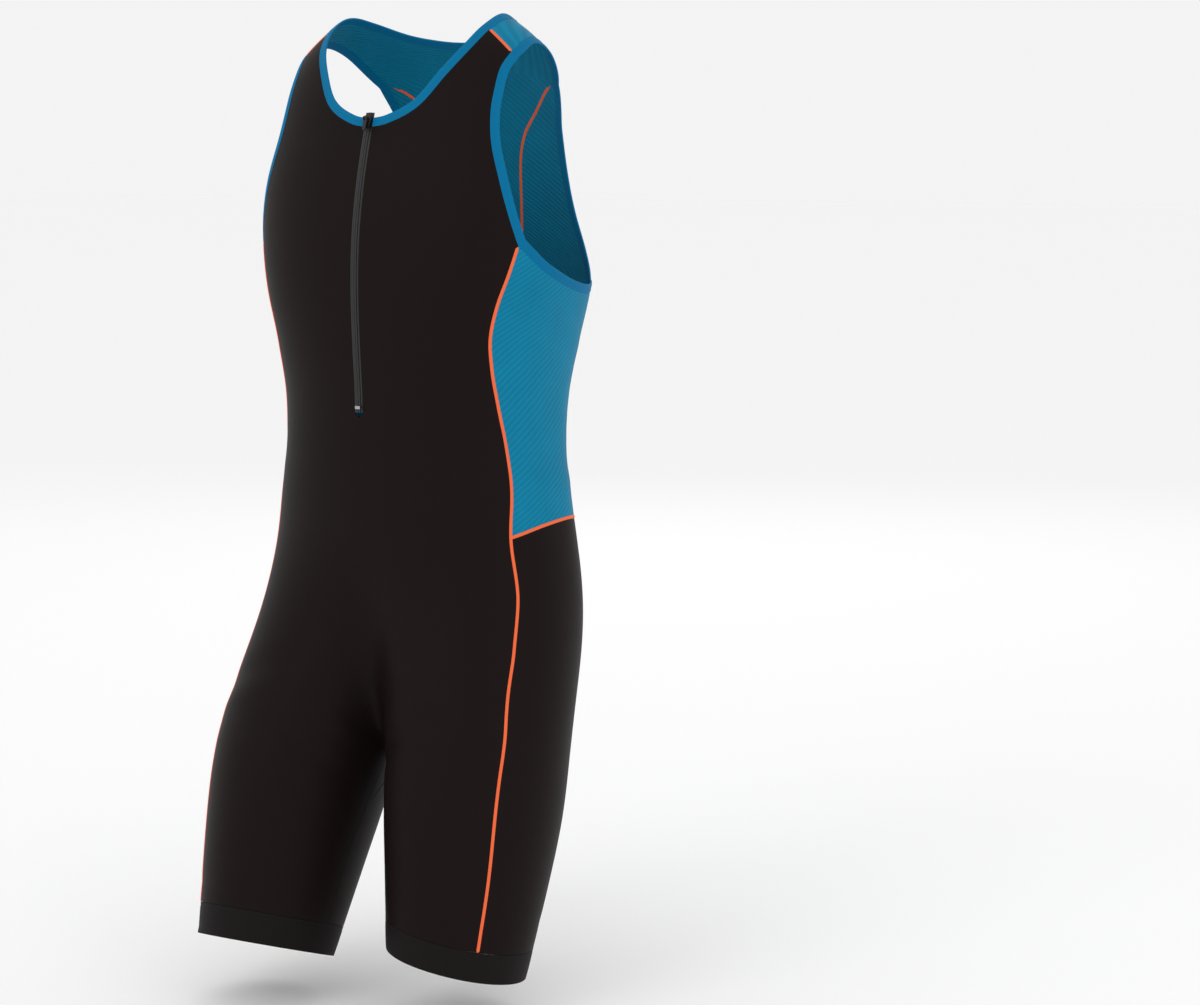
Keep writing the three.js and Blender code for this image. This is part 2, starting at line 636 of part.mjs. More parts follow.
// A strip down the middle of the front between two distances from it
function zipStrip(from, to, wallThick, proud) {
  const rows = steps(ZIP_TOP, ZIP_FOOT, ZIP_ROWS).map((v) => [from, to].map((x) => {
    const p = middle(v, -1);
    p.x = x;
    return p;
  }));
  return wall(weld([rows]), proud, wallThick);
}

// Joins closed shapes into one.
function fuse(...shapes) {
  const solids = shapes.map((shape) => {
    const bare = shape.index ? shape.toNonIndexed() : shape.clone();
    bare.deleteAttribute('normal');
    bare.deleteAttribute('uv');
    const merged = mergeVertices(bare, 1e-4);
    return new wasm.Manifold(new wasm.Mesh({
      numProp: 3,
      vertProperties: new Float32Array(merged.attributes.position.array),
      triVerts: new Uint32Array(merged.index.array),
    }));
  });
  const mesh = solids.reduce((sum, next) => sum.add(next)).getMesh();
  const geometry = new THREE.BufferGeometry();
  geometry.setAttribute('position', new THREE.Float32BufferAttribute(mesh.vertProperties, 3));
  geometry.setIndex([...mesh.triVerts]);
  geometry.computeVertexNormals();
  return geometry;
}

// Slider and pull, in a frame whose z runs up the zip and whose -y points out of the cloth
const SLIDER = { v: 91, width: 8.5, height: 12, thick: 2.4, gap: 0.3 };
const LUG = { half: 0.9, radius: 1.1, pin: 0.6, pinHalf: 2.3, rise: 2.3, up: 2.5 };
const PULL = {
  width: 4.6, top: 1.5, length: 12, thick: 1.3, ear: 1.9, hole: 0.9, earThick: 0.9, earGap: 0.35,
};

function plate(shape, depth) {
  const extruded = new THREE.ExtrudeGeometry(shape, { depth, bevelEnabled: false, curveSegments: 6 });
  extruded.deleteAttribute('normal');
  extruded.deleteAttribute('uv');
  return mergeVertices(extruded, 1e-4);
}

// Turns a plate drawn in x and z to face -y, its back at y = 0.
const faceFront = (geometry) => geometry.rotateX(Math.PI / 2);

function sliderBody() {
  const [w, h] = [SLIDER.width / 2, SLIDER.height / 2];
  const outline = new THREE.Shape();
  outline.moveTo(-w * 0.62, -h);
  outline.lineTo(w * 0.62, -h);
  outline.lineTo(w, h * 0.3);
  outline.quadraticCurveTo(w, h, w * 0.45, h);
  outline.lineTo(-w * 0.45, h);
  outline.quadraticCurveTo(-w, h, -w, h * 0.3);
  outline.closePath();
  const body = faceFront(plate(outline, SLIDER.thick));
  const side = new THREE.Shape();
  side.absarc(0, 0, LUG.radius, 0, Math.PI, false);
  side.lineTo(-LUG.radius, -LUG.rise - 0.5);
  side.lineTo(LUG.radius, -LUG.rise - 0.5);
  side.closePath();
  const lug = plate(side, LUG.half * 2);
  lug.translate(0, 0, -LUG.half);
  lug.rotateY(Math.PI / 2);
  lug.rotateX(Math.PI);
  const pin = new THREE.CylinderGeometry(LUG.pin, LUG.pin, LUG.pinHalf * 2, 12);
  pin.rotateZ(Math.PI / 2);
  for (const piece of [lug, pin]) piece.translate(0, -SLIDER.thick - LUG.rise, LUG.up);
  return fuse(body, lug, pin);
}

function pullTab() {
  const [w, l] = [PULL.width / 2, PULL.length];
  const outline = new THREE.Shape();
  outline.moveTo(-w, -PULL.top);
  outline.lineTo(-w * 0.75, -l + 2);
  outline.quadraticCurveTo(-w * 0.75, -l, 0, -l);
  outline.quadraticCurveTo(w * 0.75, -l, w * 0.75, -l + 2);
  outline.lineTo(w, -PULL.top);
  outline.closePath();
  const tab = faceFront(plate(outline, PULL.thick));
  tab.translate(0, PULL.thick / 2, 0);
  const ring = new THREE.Shape();
  ring.absarc(0, 0, PULL.ear, 0, Math.PI * 2, false);
  const hole = new THREE.Path();
  hole.absarc(0, 0, PULL.hole, 0, Math.PI * 2, true);
  ring.holes.push(hole);
  const ears = [-1, 1].map((way) => {
    const ear = plate(ring, PULL.earThick);
    ear.rotateY(Math.PI / 2);
    const start = LUG.half + PULL.earGap;
    ear.translate(way > 0 ? start : -start - PULL.earThick, 0, 0);
    return ear;
  });
  return fuse(tab, ...ears);
}

// Places a piece on the zip: its frame leans with the cloth.
function onZip(mesh, v, out, up = 0) {
  const p = middle(v, -1);
  const n = normalAt(p);
  const lean = Math.atan2(n.z, -n.y);
  mesh.rotation.x = -lean;
  const rise = new THREE.Vector3(0, n.z, -n.y).normalize();
  mesh.position.copy(p).addScaledVector(n, out).addScaledVector(rise, up);
  return mesh;
}

const STOP = { width: 5.6, height: 3, thick: 1.2, v: 356 };

function stopPiece() {
  const [w, h] = [STOP.width / 2, STOP.height / 2];
  const outline = new THREE.Shape();
  outline.moveTo(-w, -h);
  outline.lineTo(w, -h);
  outline.lineTo(w, h);
  outline.lineTo(-w, h);
  outline.closePath();
  return faceFront(plate(outline, STOP.thick));
}

const suit = new THREE.Group();
const sides = ['left', 'right'];
suit.add(part('front', cloth(sides.flatMap(frontHalf)), 'black'));
suit.add(part('back_centre', cloth(sides.flatMap(backCentreHalf)), 'blue'));
suit.add(part('back_yoke', cloth(sides.map(yokeHalf)), 'black'));
suit.add(part('seat', cloth(sides.map(seatHalf)), 'black'));
for (const name of sides) {
  suit.add(part(`side_${name}`, cloth(side(name)), 'blue'));
  suit.add(part(`back_${name}`, cloth(backSide(name)), 'blue'));
  suit.add(part(`leg_side_${name}`, cloth(legSide(name)), 'black'));
  suit.add(part(`leg_band_${name}`, legBand(name), 'band'));
  suit.add(part(`arm_edging_${name}`, armEdge(name), 'edging'));
}
suit.add(part('neck_edging', neckEdge(), 'edging'));
suit.add(part('zip_chain', zipStrip(-CHAIN_HALF, CHAIN_HALF, CHAIN_WALL, CHAIN_PROUD), 'nylon'));
suit.add(part('zip_tape_left', zipStrip(CHAIN_HALF + TAPE_GAP, TAPE_HALF, TAPE_WALL, 0), 'nylon'));
suit.add(part('zip_tape_right', zipStrip(-TAPE_HALF, -CHAIN_HALF - TAPE_GAP, TAPE_WALL, 0), 'nylon'));
suit.add(onZip(part('zip_slider', sliderBody(), 'metal'), SLIDER.v, CHAIN_PROUD + SLIDER.gap));
const pivotOut = CHAIN_PROUD + SLIDER.gap + SLIDER.thick + LUG.rise;
suit.add(onZip(part('zip_pull', pullTab(), 'metal'), SLIDER.v, pivotOut, LUG.up));
suit.add(onZip(part('zip_stop', stopPiece(), 'steel'), STOP.v, CHAIN_PROUD + SLIDER.gap));

export default suit;
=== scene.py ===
"""Sleeveless triathlon suit with short legs: knit, sewing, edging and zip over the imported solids.

Tables and formulas are in millimetres, +Z up, the front faces -Y and the wearer's left is +X.
Meshes are made in metres in the same frame.
"""
import math

import bmesh
import bpy
import numpy as np
from bpy.props import FloatProperty, FloatVectorProperty, PointerProperty
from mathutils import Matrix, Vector


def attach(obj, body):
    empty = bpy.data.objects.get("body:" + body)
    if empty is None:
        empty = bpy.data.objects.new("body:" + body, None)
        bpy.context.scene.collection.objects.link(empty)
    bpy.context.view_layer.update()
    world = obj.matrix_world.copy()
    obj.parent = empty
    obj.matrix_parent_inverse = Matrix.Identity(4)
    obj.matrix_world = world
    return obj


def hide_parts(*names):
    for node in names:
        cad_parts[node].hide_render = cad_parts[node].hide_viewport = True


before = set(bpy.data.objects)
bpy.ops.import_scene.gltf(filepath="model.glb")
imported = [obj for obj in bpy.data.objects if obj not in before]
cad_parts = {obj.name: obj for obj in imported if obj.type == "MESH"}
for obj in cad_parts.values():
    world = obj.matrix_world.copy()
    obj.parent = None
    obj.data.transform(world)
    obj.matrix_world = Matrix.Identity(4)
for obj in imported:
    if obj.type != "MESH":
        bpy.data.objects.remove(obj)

bl_info = {
    "name": "Triathlon suit",
    "version": (1, 0, 0),
    "blender": (4, 5, 0),
    "location": "View3D > Sidebar > Suit",
    "description": "Builds a triathlon suit with its knit, seams, edging and zip",
    "category": "Object",
}

# Stations are heights below the origin down the body, then down each leg's own axis.
FAN = 150
FAN_STEP = 0.5
NECK_FRONT = 89
SLIT_HALF = 4.9
SLIT_FOOT = 362
SLIT_END = 366
ZIP_TOP = 82
ZIP_FOOT = 361
ARM_FRONT_FOOT = 203
ARM_BACK_FOOT = 247
HIP_FRONT = 476
HIP_BACK = 472
WAIST_PRINCESS = 466
WAIST_CENTRE = 460
YOKE_SIDE = 558
YOKE_CENTRE = 532
HEM_SEAM = 852
HEM = 880
SHOULDER_NECK = (38, 72)
SHOULDER_ARM = (60, 75)
BACK_POINT = (72, 126)
BINDING_WIDTH = 8
SEAM = 0.17


def table(columns, *rows):
    """Rows of numbers as one array for each named column."""
    return dict(zip(columns.split(), np.array(rows, float).T))


# Sections of the body: height, half width, depth in front, depth behind, squareness
TORSO = table(
    "z a f b n",
    (40, 50, 30, 40, 2.0), (12, 86, 44, 52, 2.0), (-8, 114, 60, 66, 2.0),
    (-30, 135, 72, 82, 2.1), (-60, 149, 84, 98, 2.2), (-100, 158, 96, 110, 2.3),
    (-150, 166, 109, 119, 2.4), (-200, 167, 117, 123, 2.4), (-250, 161, 119, 121, 2.4),
    (-300, 151, 117, 114, 2.3), (-350, 144, 114, 103, 2.2), (-400, 144, 115, 93, 2.2),
    (-450, 151, 116, 91, 2.2), (-500, 156, 115, 96, 2.2), (-560, 162, 117, 104, 2.2),
    (-620, 168, 121, 108, 2.2), (-700, 172, 120, 106, 2.2),
)

# Sections of a leg: distance down its axis, outer, inner, front and back radius
LEG = table(
    "t o i f b",
    (0, 92, 84, 106, 102), (120, 92, 80, 102, 100), (200, 92, 77, 95, 97),
    (260, 90, 73, 92, 93), (320, 83, 68, 84, 84), (410, 69, 62, 69, 68),
)

# The hip joint, and each leg's side, its swing forward and out in degrees, how far the hem's
# front is raised and how far its outer side is lowered
HIP = (76, -8, -490)
LEGS = {
    "right": {"side": -1, "forward": 19.5, "out": 2.3, "hem_tilt": 19, "hem_lean": 0},
    "left": {"side": 1, "forward": 12.5, "out": 2.3, "hem_tilt": 9, "hem_lean": 10},
}
LEG_BLEND = (440, 690)
ROW_SHIFT = (540, 680)
HEM_TURN = (690, 850)
INSEAM_TURN = 800
MELT = 34

# Seams: station, turn round the body from the front (0) over the side (90) to the back (180).
# A row past 180 mirrors the one before it, so that the curve is level there.
FRONT_SEAM = table(
    "v turn",
    (203, 66), (230, 63), (260, 59.5), (290, 58), (320, 59.5), (352, 62.5), (394, 66),
    (430, 67), (476, 65.5), (532, 66), (579, 61.5), (624, 55), (671, 51), (718, 49.5),
    (790, 50), (852, 49),
)
BACK_SEAM = table(
    "v turn",
    (247, 120), (303, 120), (343, 122), (387, 124.5), (441, 128), (472, 124), (521, 119),
    (558, 119), (590, 124.5), (620, 133), (650, 143.5), (684, 151.5), (721, 154.5),
    (783, 154.5), (829, 152), (852, 150),
)
PRINCESS = table(
    "v turn",
    (72, 126), (75, 135), (87, 147), (103, 157.5), (126, 163), (170, 165.5), (228, 166),
    (277, 164.5), (320, 163), (369, 161.5), (422, 160), (466, 157.5),
)
ARM_FRONT = table(
    "v turn",
    (60, 75), (67, 69), (78, 65), (95, 61.5), (120, 60), (154, 61.5), (180, 63.5), (203, 66),
)
ARM_BACK = table(
    "v turn",
    (72, 126), (88, 132.5), (105, 137), (142, 140), (182, 137.5), (219, 129.5), (247, 120),
)
ARM_FOOT = table("turn v", (66, 203), (75, 225), (86, 240), (98, 249), (109, 251), (120, 247))
STRAP_EDGE = table("turn v", (75, 60), (90, 51), (107, 55), (126, 72))
NECKLINE = table(
    "turn v",
    (2.5, 89), (12, 87), (30, 77), (45, 59), (60, 46), (72, 38), (90, 32), (108, 32),
    (131, 32), (155, 29.5), (180, 28.5), (205, 29.5),
)
SIDE_WAIST = table("turn v", (65.5, 476), (80, 467), (95, 464), (110, 468), (124, 472))
BACK_WAIST = table("turn v", (124, 472), (137, 470), (157.5, 466), (180, 460),
                   (202.5, 466))
YOKE_SEAM = table("turn v", (119, 558), (127, 556), (137, 551), (156, 541), (180, 532),
                  (204, 541))

# Turn of each leg band's join, and the stitching that holds the pad inside, behind each leg
BAND_JOIN = 205.0
PAD_STITCH = table("turn v", (168, 684), (190.7, 690), (211, 694), (232.6, 711), (257, 740))

# Rows and columns of the plain solids, and how many finer ones the cloth here has for each
COLUMNS = {"front": 9, "side": 4, "back_centre": 4, "back_side": 4, "seat": 8}
FINER_ROWS = 6
FINER_COLUMNS = 6

# The camera: degrees round from the front, turned aside and tilted down, and the stage's size in m
VIEW = {"azimuth": 35, "turn": 3.54, "pitch": 7.15, "height_m": -0.12, "lens_mm": 83.4, "sensor_mm": 36}
FLOOR_HALF = 40.0

# Soft troughs and swells of the worn cloth: side of the body (0 both), station and turn of the
# middle, half length, half width, slant in degrees and height out of the body
CREASES = table(
    "side v turn long wide slant high",
    (1, 668, -20, 60, 9, -38, -2.2), (1, 652, -30, 52, 9, -38, 1.4),
    (-1, 668, -20, 60, 9, -38, -2.2), (-1, 650, -32, 52, 9, -38, 1.4),
    (0, 612, 34, 70, 12, 24, -1.1), (0, 636, 30, 66, 12, 24, 0.9),
    (0, 402, 84, 48, 9, 10, -0.9), (0, 424, 88, 54, 9, 6, 0.8),
    (0, 442, 176, 46, 8, 4, -1.6), (0, 432, 168, 40, 8, 4, 0.9),
    (-1, 700, 190, 60, 10, 30, -1.4), (-1, 722, 200, 60, 11, 30, 0.9),
    (1, 677, 193, 46, 10, 14, 1.8), (1, 690, 195, 42, 7, 14, -2.6),
    (1, 699, 224, 38, 9, 29, 1.6), (1, 712, 226, 36, 7, 29, -2.4),
    (0, 270, 92, 44, 9, 30, -0.8), (0, 284, 98, 46, 9, 30, 0.6),
    (0, 838, 20, 46, 8, 2, -0.7), (0, 834, 150, 40, 8, 4, -0.8),
)


def read(rows, key, value, column):
    """A column as a smooth cubic through its rows, level beyond the first and last row."""
    x, y = rows[key], rows[column]
    if x[1] < x[0]:
        x, y = x[::-1], y[::-1]
    before, after = np.r_[0, 0:len(x) - 1], np.r_[1:len(x), len(x) - 1]
    slope = (y[after] - y[before]) / (x[after] - x[before])
    value = np.clip(value, x[0], x[-1])
    i = np.clip(np.searchsorted(x, value) - 1, 0, len(x) - 2)
    step = x[i + 1] - x[i]
    u = (value - x[i]) / step
    rise = 3 * u * u - 2 * u ** 3
    leave = u * (1 - u) ** 2 * slope[i] * step
    arrive = u * u * (u - 1) * slope[i + 1] * step
    return y[i] * (1 - rise) + y[i + 1] * rise + leave + arrive


def ease(ends, value):
    """Smooth step from 0 to 1 between two ends."""
    t = np.clip((value - ends[0]) / (ends[1] - ends[0]), 0, 1)
    return t * t * (3 - 2 * t)


def unit(vectors):
    return vectors / np.linalg.norm(vectors, axis=-1, keepdims=True)


def fall_of(name):
    """How far a leg's axis moves for each millimetre down."""
    leg = LEGS[name]
    sideways = leg["side"] * math.tan(math.radians(leg["out"]))
    return np.array([sideways, -math.tan(math.radians(leg["forward"])), -1.0])


def trunk(p):
    """Superellipse sections: |x / a|^n + |y / d|^n = 1 on the surface, scaled to millimetres."""
    a, n = (read(TORSO, "z", p[..., 2], k) for k in "an")
    front, back = (read(TORSO, "z", p[..., 2], k) for k in "fb")
    depth = np.where(p[..., 1] < 0, front, back)
    ratio = (np.abs(p[..., 0]) / a) ** n + (np.abs(p[..., 1]) / depth) ** n
    return 130 * (ratio ** (1 / n) - 1)


def limb(name, p):
    """Sections of four elliptic quarters square to the leg's axis."""
    side = LEGS[name]["side"]
    along = unit(fall_of(name))
    q = p - np.array([side * HIP[0], HIP[1], HIP[2]])
    t = q @ along
    q = q - t[..., None] * along
    out = q[..., 0] * side
    forward = -np.sign(q[..., 1]) * np.hypot(q[..., 1], q[..., 2])
    across = np.where(out > 0, read(LEG, "t", t, "o"), read(LEG, "t", t, "i"))
    depth = np.where(forward > 0, read(LEG, "t", t, "f"), read(LEG, "t", t, "b"))
    return 85 * (np.hypot(out / across, forward / depth) - 1)


def form(p):
    """Signed distance-like measure of the body: the trunk turns into two limbs that melt together."""
    flat = p.reshape(-1, 3)
    share = ease(LEG_BLEND, -flat[:, 2])
    value = np.zeros(len(flat))
    upper, lower = share < 1, share > 0
    value[upper] = trunk(flat[upper]) * (1 - share[upper])
    right, left = limb("right", flat[lower]), limb("left", flat[lower])
    near = np.maximum(MELT - np.abs(right - left), 0) / MELT
    value[lower] += (np.minimum(right, left) - near * near * MELT / 4) * share[lower]
    return value.reshape(p.shape[:-1])


def gradient(p):
    """Central differences of the form over half a millimetre each way."""
    steps = np.eye(3) * 0.5
    return np.stack([form(p + h) - form(p - h) for h in steps], axis=-1)


def normals(p):
    return unit(gradient(p))


def settle(p):
    """Newton steps that bring nearby points back onto the body."""
    for _ in range(2):
        g = gradient(p)
        p = p - g * (form(p) / (g * g).sum(-1))[..., None]
    return p


def reach(origin, ray, limit):
    """First distance along each ray at which it leaves the body.

    It marches in steps of 4, halves the last step twice, and then follows straight chords.
    """
    far = np.zeros(origin.shape[:-1])
    going = np.ones(far.shape, bool)
    while going.any():
        ahead = far[going] + 4
        inside = form(origin[going] + ray[going] * ahead[:, None]) < 0
        on = (ahead < limit[going]) & inside
        spots = np.flatnonzero(going)
        far[spots[on]] += 4
        going[spots[~on]] = False
    low, high = far, np.minimum(far + 4, limit)
    at_low, at_high = (form(origin + ray * r[:, None]) for r in (low, high))
    for k in range(6):
        chord = at_low / np.minimum(at_low - at_high, -1e-9)
        guess = low + (high - low) * (0.5 if k < 2 else np.clip(chord, 0, 1))
        value = form(origin + ray * guess[:, None])
        inside = value < 0
        low, at_low = np.where(inside, guess, low), np.where(inside, value, at_low)
        high, at_high = np.where(inside, high, guess), np.where(inside, at_high, value)
    return np.where(at_high < 0, high, guess)


def row_centre(v, name):
    """The point that a row of the chart is measured round."""
    fall, side = fall_of(name), LEGS[name]["side"]
    shift = ease(ROW_SHIFT, v)
    x = (side * HIP[0] + fall[0] * (HIP[2] + v)) * shift
    y = (HIP[1] + fall[1] * (HIP[2] + v)) * shift
    return np.stack([x, y, -np.maximum(v, FAN)], axis=-1)


def place(v, turn, name):
    """Points of the body at stations and turns, on the wearer's right or left."""
    v, turn = np.broadcast_arrays(np.asarray(v, float), np.asarray(turn, float))
    shape = v.shape
    v, turn = v.ravel(), np.radians(turn.ravel())
    centre = row_centre(v, name)
    tilt = math.radians(LEGS[name]["hem_tilt"]) * ease(HEM_TURN, v)
    lean = math.radians(LEGS[name]["hem_lean"]) * ease(HEM_TURN, v)
    lift = np.radians(np.maximum(FAN - v, 0) * FAN_STEP)
    ray = np.stack([
        LEGS[name]["side"] * np.cos(lean) * np.sin(turn) * np.cos(lift),
        -np.cos(tilt) * np.cos(turn) * np.cos(lift),
        (np.sin(tilt) * np.cos(turn) - np.sin(lean) * np.sin(turn)) * np.cos(lift) + np.sin(lift),
    ], axis=-1)
    inward = centre[:, 0] * ray[:, 0] < 0
    to_middle = -centre[:, 0] / np.where(inward, ray[:, 0], 1)
    limit = np.where(inward, to_middle, np.inf)
    far = reach(centre, ray, limit)
    return (centre + ray * far[:, None]).reshape(shape + (3,))


def find_crotch():
    """Lowest point of the plane of symmetry that lies inside the body."""
    y = np.arange(-140, 60.5, 0.5)

    def shallow(z):
        values = form(np.stack([y * 0, y, y * 0 + z], axis=-1))
        return y[values.argmin()], values.min()

    high, low = -600.0, -800.0
    for _ in range(24):
        middle = (high + low) / 2
        if shallow(middle)[1] < 0:
            high = middle
        else:
            low = middle
    return np.array([0.0, shallow(high)[0], high])


CROTCH = find_crotch()
CROTCH_V = -CROTCH[2]


def middle_points(v, way):
    """Points on the plane of symmetry, way -1 in front and 1 behind."""
    v = np.asarray(v, float).ravel()
    centre = np.stack([v * 0, CROTCH[1] * ease((ROW_SHIFT[0], CROTCH_V), v), -v], axis=-1)
    ray = np.tile([0.0, way, 0.0], (len(v), 1))
    points = centre + ray * reach(centre, ray, np.full(len(v), np.inf))[:, None]
    points[np.abs(v - CROTCH_V) < 0.01] = CROTCH
    return points


def turn_of(p, v, name):
    centre = row_centre(v, name)
    return np.degrees(np.arctan2((p[:, 0] - centre[:, 0]) * LEGS[name]["side"], centre[:, 1] - p[:, 1]))


def inner_turn(v, way, name):
    """Turn of a row's innermost point: the middle of the body, then the inside leg seam."""
    v = np.atleast_1d(np.asarray(v, float))
    above = np.minimum(v, CROTCH_V)
    at_crotch = turn_of(CROTCH[None], np.array([CROTCH_V]), name)[0]
    seam = at_crotch + (-90 - at_crotch) * ease((CROTCH_V, INSEAM_TURN), v)
    upper = turn_of(middle_points(above, way), above, name)
    if way > 0:
        upper = np.where(upper < 0, upper + 360, upper)
        seam = seam + 360
    return np.where(v <= CROTCH_V, upper, seam)


def slit_turn(v):
    """Turn of the slit's edge, which runs to the middle between the slit's foot and end."""
    half = SLIT_HALF * np.clip((SLIT_END - v) / (SLIT_END - SLIT_FOOT), 0, 1)
    depth = np.abs(middle_depth(v))
    return np.degrees(np.arcsin(half / depth))


def neck_start():
    """Turn of the slit's edge at the neckline."""
    return slit_turn(np.array([float(NECK_FRONT)]))[0]


def middle_depth(v):
    return place(v, np.zeros(np.shape(v)), "left")[..., 1]


def steps(start, end, count):
    return np.linspace(start, end, count + 1)


def chain(*lists):
    """Lists joined end to end, each after the first without its first value."""
    return np.concatenate([lists[0], *[part[1:] for part in lists[1:]]])


def marks(v, turn):
    return np.stack(np.broadcast_arrays(v, turn), axis=-1)


def on_seam(rows, v):
    return marks(v, read(rows, "v", v, "turn"))


def on_curve(rows, turn):
    return marks(read(rows, "turn", turn, "v"), turn)


R = FINER_ROWS
TORSO_FRONT = chain(steps(ARM_FRONT_FOOT, SLIT_FOOT, 8 * R), steps(SLIT_FOOT, SLIT_END, R),
                    steps(SLIT_END, HIP_FRONT, 5 * R))
LEG_FRONT = chain(steps(HIP_FRONT, YOKE_SIDE, 4 * R), steps(YOKE_SIDE, HEM_SEAM, 16 * R))
TORSO_BACK = steps(ARM_BACK_FOOT, HIP_BACK, 14 * R)
LEG_BACK = chain(steps(HIP_BACK, YOKE_SIDE, 4 * R), steps(YOKE_SIDE, HEM_SEAM, 16 * R))
NECK_ROWS = 6 * R
BACK_ROWS = 22 * R
BELOW_FORK = 7 * R


def inside_leg(start, count):
    """Stations that gather towards the crotch, above and below it."""
    above = CROTCH_V - (CROTCH_V - start) * steps(1, 0, count * R) ** 2
    below = CROTCH_V + (HEM_SEAM - CROTCH_V) * steps(0, 1, BELOW_FORK) ** 1.5
    return chain(above, below)


def inner_marks(v, way, name):
    return marks(v, inner_turn(v, way, name))


def panel(left, right, columns, top=None, bottom=None):
    """A four-sided patch of marks between two edges, straight from mark to mark.

    It bends towards its ends, in proportion to the row, where the top or bottom is a curve.
    """
    u = steps(0, 1, columns * FINER_COLUMNS)[None, :, None]
    grid = left[:, None] * (1 - u) + right[:, None] * u
    down = steps(0, 1, len(left) - 1)[:, None]
    start, end = grid[0].copy(), grid[-1].copy()
    if top:
        grid[..., 0] += (read(top, "turn", start[:, 1], "v") - start[:, 0]) * (1 - down)
    if bottom:
        grid[..., 0] += (read(bottom, "turn", end[:, 1], "v") - end[:, 0]) * down
    return grid


def to_points(grid, name, middle_column=None, way=-1):
    """Marks to points; one column may lie in the plane of symmetry down to the crotch."""
    points = place(grid[..., 0], grid[..., 1], name)
    if middle_column is not None:
        v = grid[:, middle_column, 0]
        rows = np.flatnonzero((v <= CROTCH_V + 0.01) & (v >= FAN if way > 0 else v >= SLIT_END))
        points[rows, middle_column] = middle_points(v[rows], way)
    return points


def weld(grids, sides):
    """One sheet of triangles from grids of points, facing out, and each corner's flat place.

    The flat place is (distance along the row with the sign of the side, distance down).
    """
    corners, flats, faces, start = [], [], [], 0
    for grid, side in zip(grids, sides):
        rows, columns = grid.shape[:2]
        ids = start + np.arange(rows * columns).reshape(rows, columns)
        a, b, c, d = ids[:-1, :-1], ids[:-1, 1:], ids[1:, 1:], ids[1:, :-1]
        own = np.concatenate([np.stack(t, -1).reshape(-1, 3) for t in ((a, b, c), (a, c, d))])
        flat_points = grid.reshape(-1, 3)
        local = own - start
        edges = [flat_points[local[:, k]] - flat_points[local[:, 0]] for k in (1, 2)]
        facing = (np.cross(*edges) * normals(flat_points[local[:, 0]])).sum(-1)
        if (facing > 0).mean() < 0.5:
            own = own[:, ::-1]
        across = np.linalg.norm(np.diff(grid, axis=1), axis=-1).cumsum(1)
        across = np.pad(across, ((0, 0), (1, 0))) * side
        down = -grid[..., 2]
        corners.append(flat_points)
        flats.append(np.stack([across, down], -1).reshape(-1, 2))
        faces.append(own)
        start += rows * columns
    points, faces = np.concatenate(corners), np.concatenate(faces)
    flats = np.concatenate(flats)
    _, kept, index = np.unique(np.round(points * 50), axis=0, return_index=True, return_inverse=True)
    index = index.ravel()
    merged = index[faces]
    whole = (merged[:, 0] != merged[:, 1]) & (merged[:, 1] != merged[:, 2]) & (merged[:, 0] != merged[:, 2])
    return points[kept], merged[whole], flats[faces[whole]]


def open_edges(faces, count):
    directed = np.concatenate([faces[:, [0, 1]], faces[:, [1, 2]], faces[:, [2, 0]]])
    codes = directed[:, 0] * count + directed[:, 1]
    return directed[~np.isin(codes, directed[:, 1] * count + directed[:, 0])]


def draw_back(points, edges, gap):
    """Open edges move in from their seam lines, along the body."""
    inward = unit(np.cross(normals(points[edges[:, 0]]), points[edges[:, 1]] - points[edges[:, 0]]))
    one, two = np.zeros_like(points), np.zeros_like(points)
    one[edges[:, 0]] = inward
    two[edges[:, 1]] = inward
    on_edge = np.unique(edges)
    one, two = one[on_edge], two[on_edge]
    pull = (one + two) / np.maximum(1 + (one * two).sum(-1), 0.25)[:, None]
    moved = points.copy()
    moved[on_edge] = settle(points[on_edge] + pull * gap)
    return moved


def crease(p):
    """Height of the soft creases at points: each is a long, narrow bell on the body.

    Along and across are measured from the crease's middle in the plane that touches the body
    there, and the bell is exp(-(along / long)^2 - (across / wide)^2).
    """
    total = np.zeros(p.shape[:-1])
    for i in range(len(CREASES["v"])):
        row = {k: CREASES[k][i] for k in CREASES}
        for name in LEGS:
            if row["side"] not in (0, LEGS[name]["side"]):
                continue
            spot = place(row["v"], row["turn"], name)
            n = normals(spot)
            flat = unit(np.cross(n, [0, 0, 1]) * LEGS[name]["side"])
            up = np.cross(flat, n) * np.sign(np.cross(flat, n)[2])
            lean = math.radians(row["slant"])
            main = flat * math.cos(lean) + up * math.sin(lean)
            other = up * math.cos(lean) - flat * math.sin(lean)
            off = p - spot
            bell = np.exp(-(off @ main / row["long"]) ** 2 - (off @ other / row["wide"]) ** 2)
            total += row["high"] * bell * np.exp(-(off @ n / 45) ** 2)
    return total


def wall(points, faces, proud, thick):
    """A closed wall: the outer face stands proud of the body, the inner one lies inside it."""
    n = normals(points)
    high = crease(points)[:, None]
    outer = points + n * (proud + high)
    inner = points + n * (proud - thick + high)
    count = len(points)
    edges = open_edges(faces, count)
    a, b = edges[:, 0], edges[:, 1]
    rim = np.concatenate([np.stack([b, a, a + count], -1), np.stack([b, a + count, b + count], -1)])
    triangles = np.concatenate([faces, faces[:, ::-1] + count, rim])
    return np.concatenate([outer, inner]), triangles, n, len(rim)


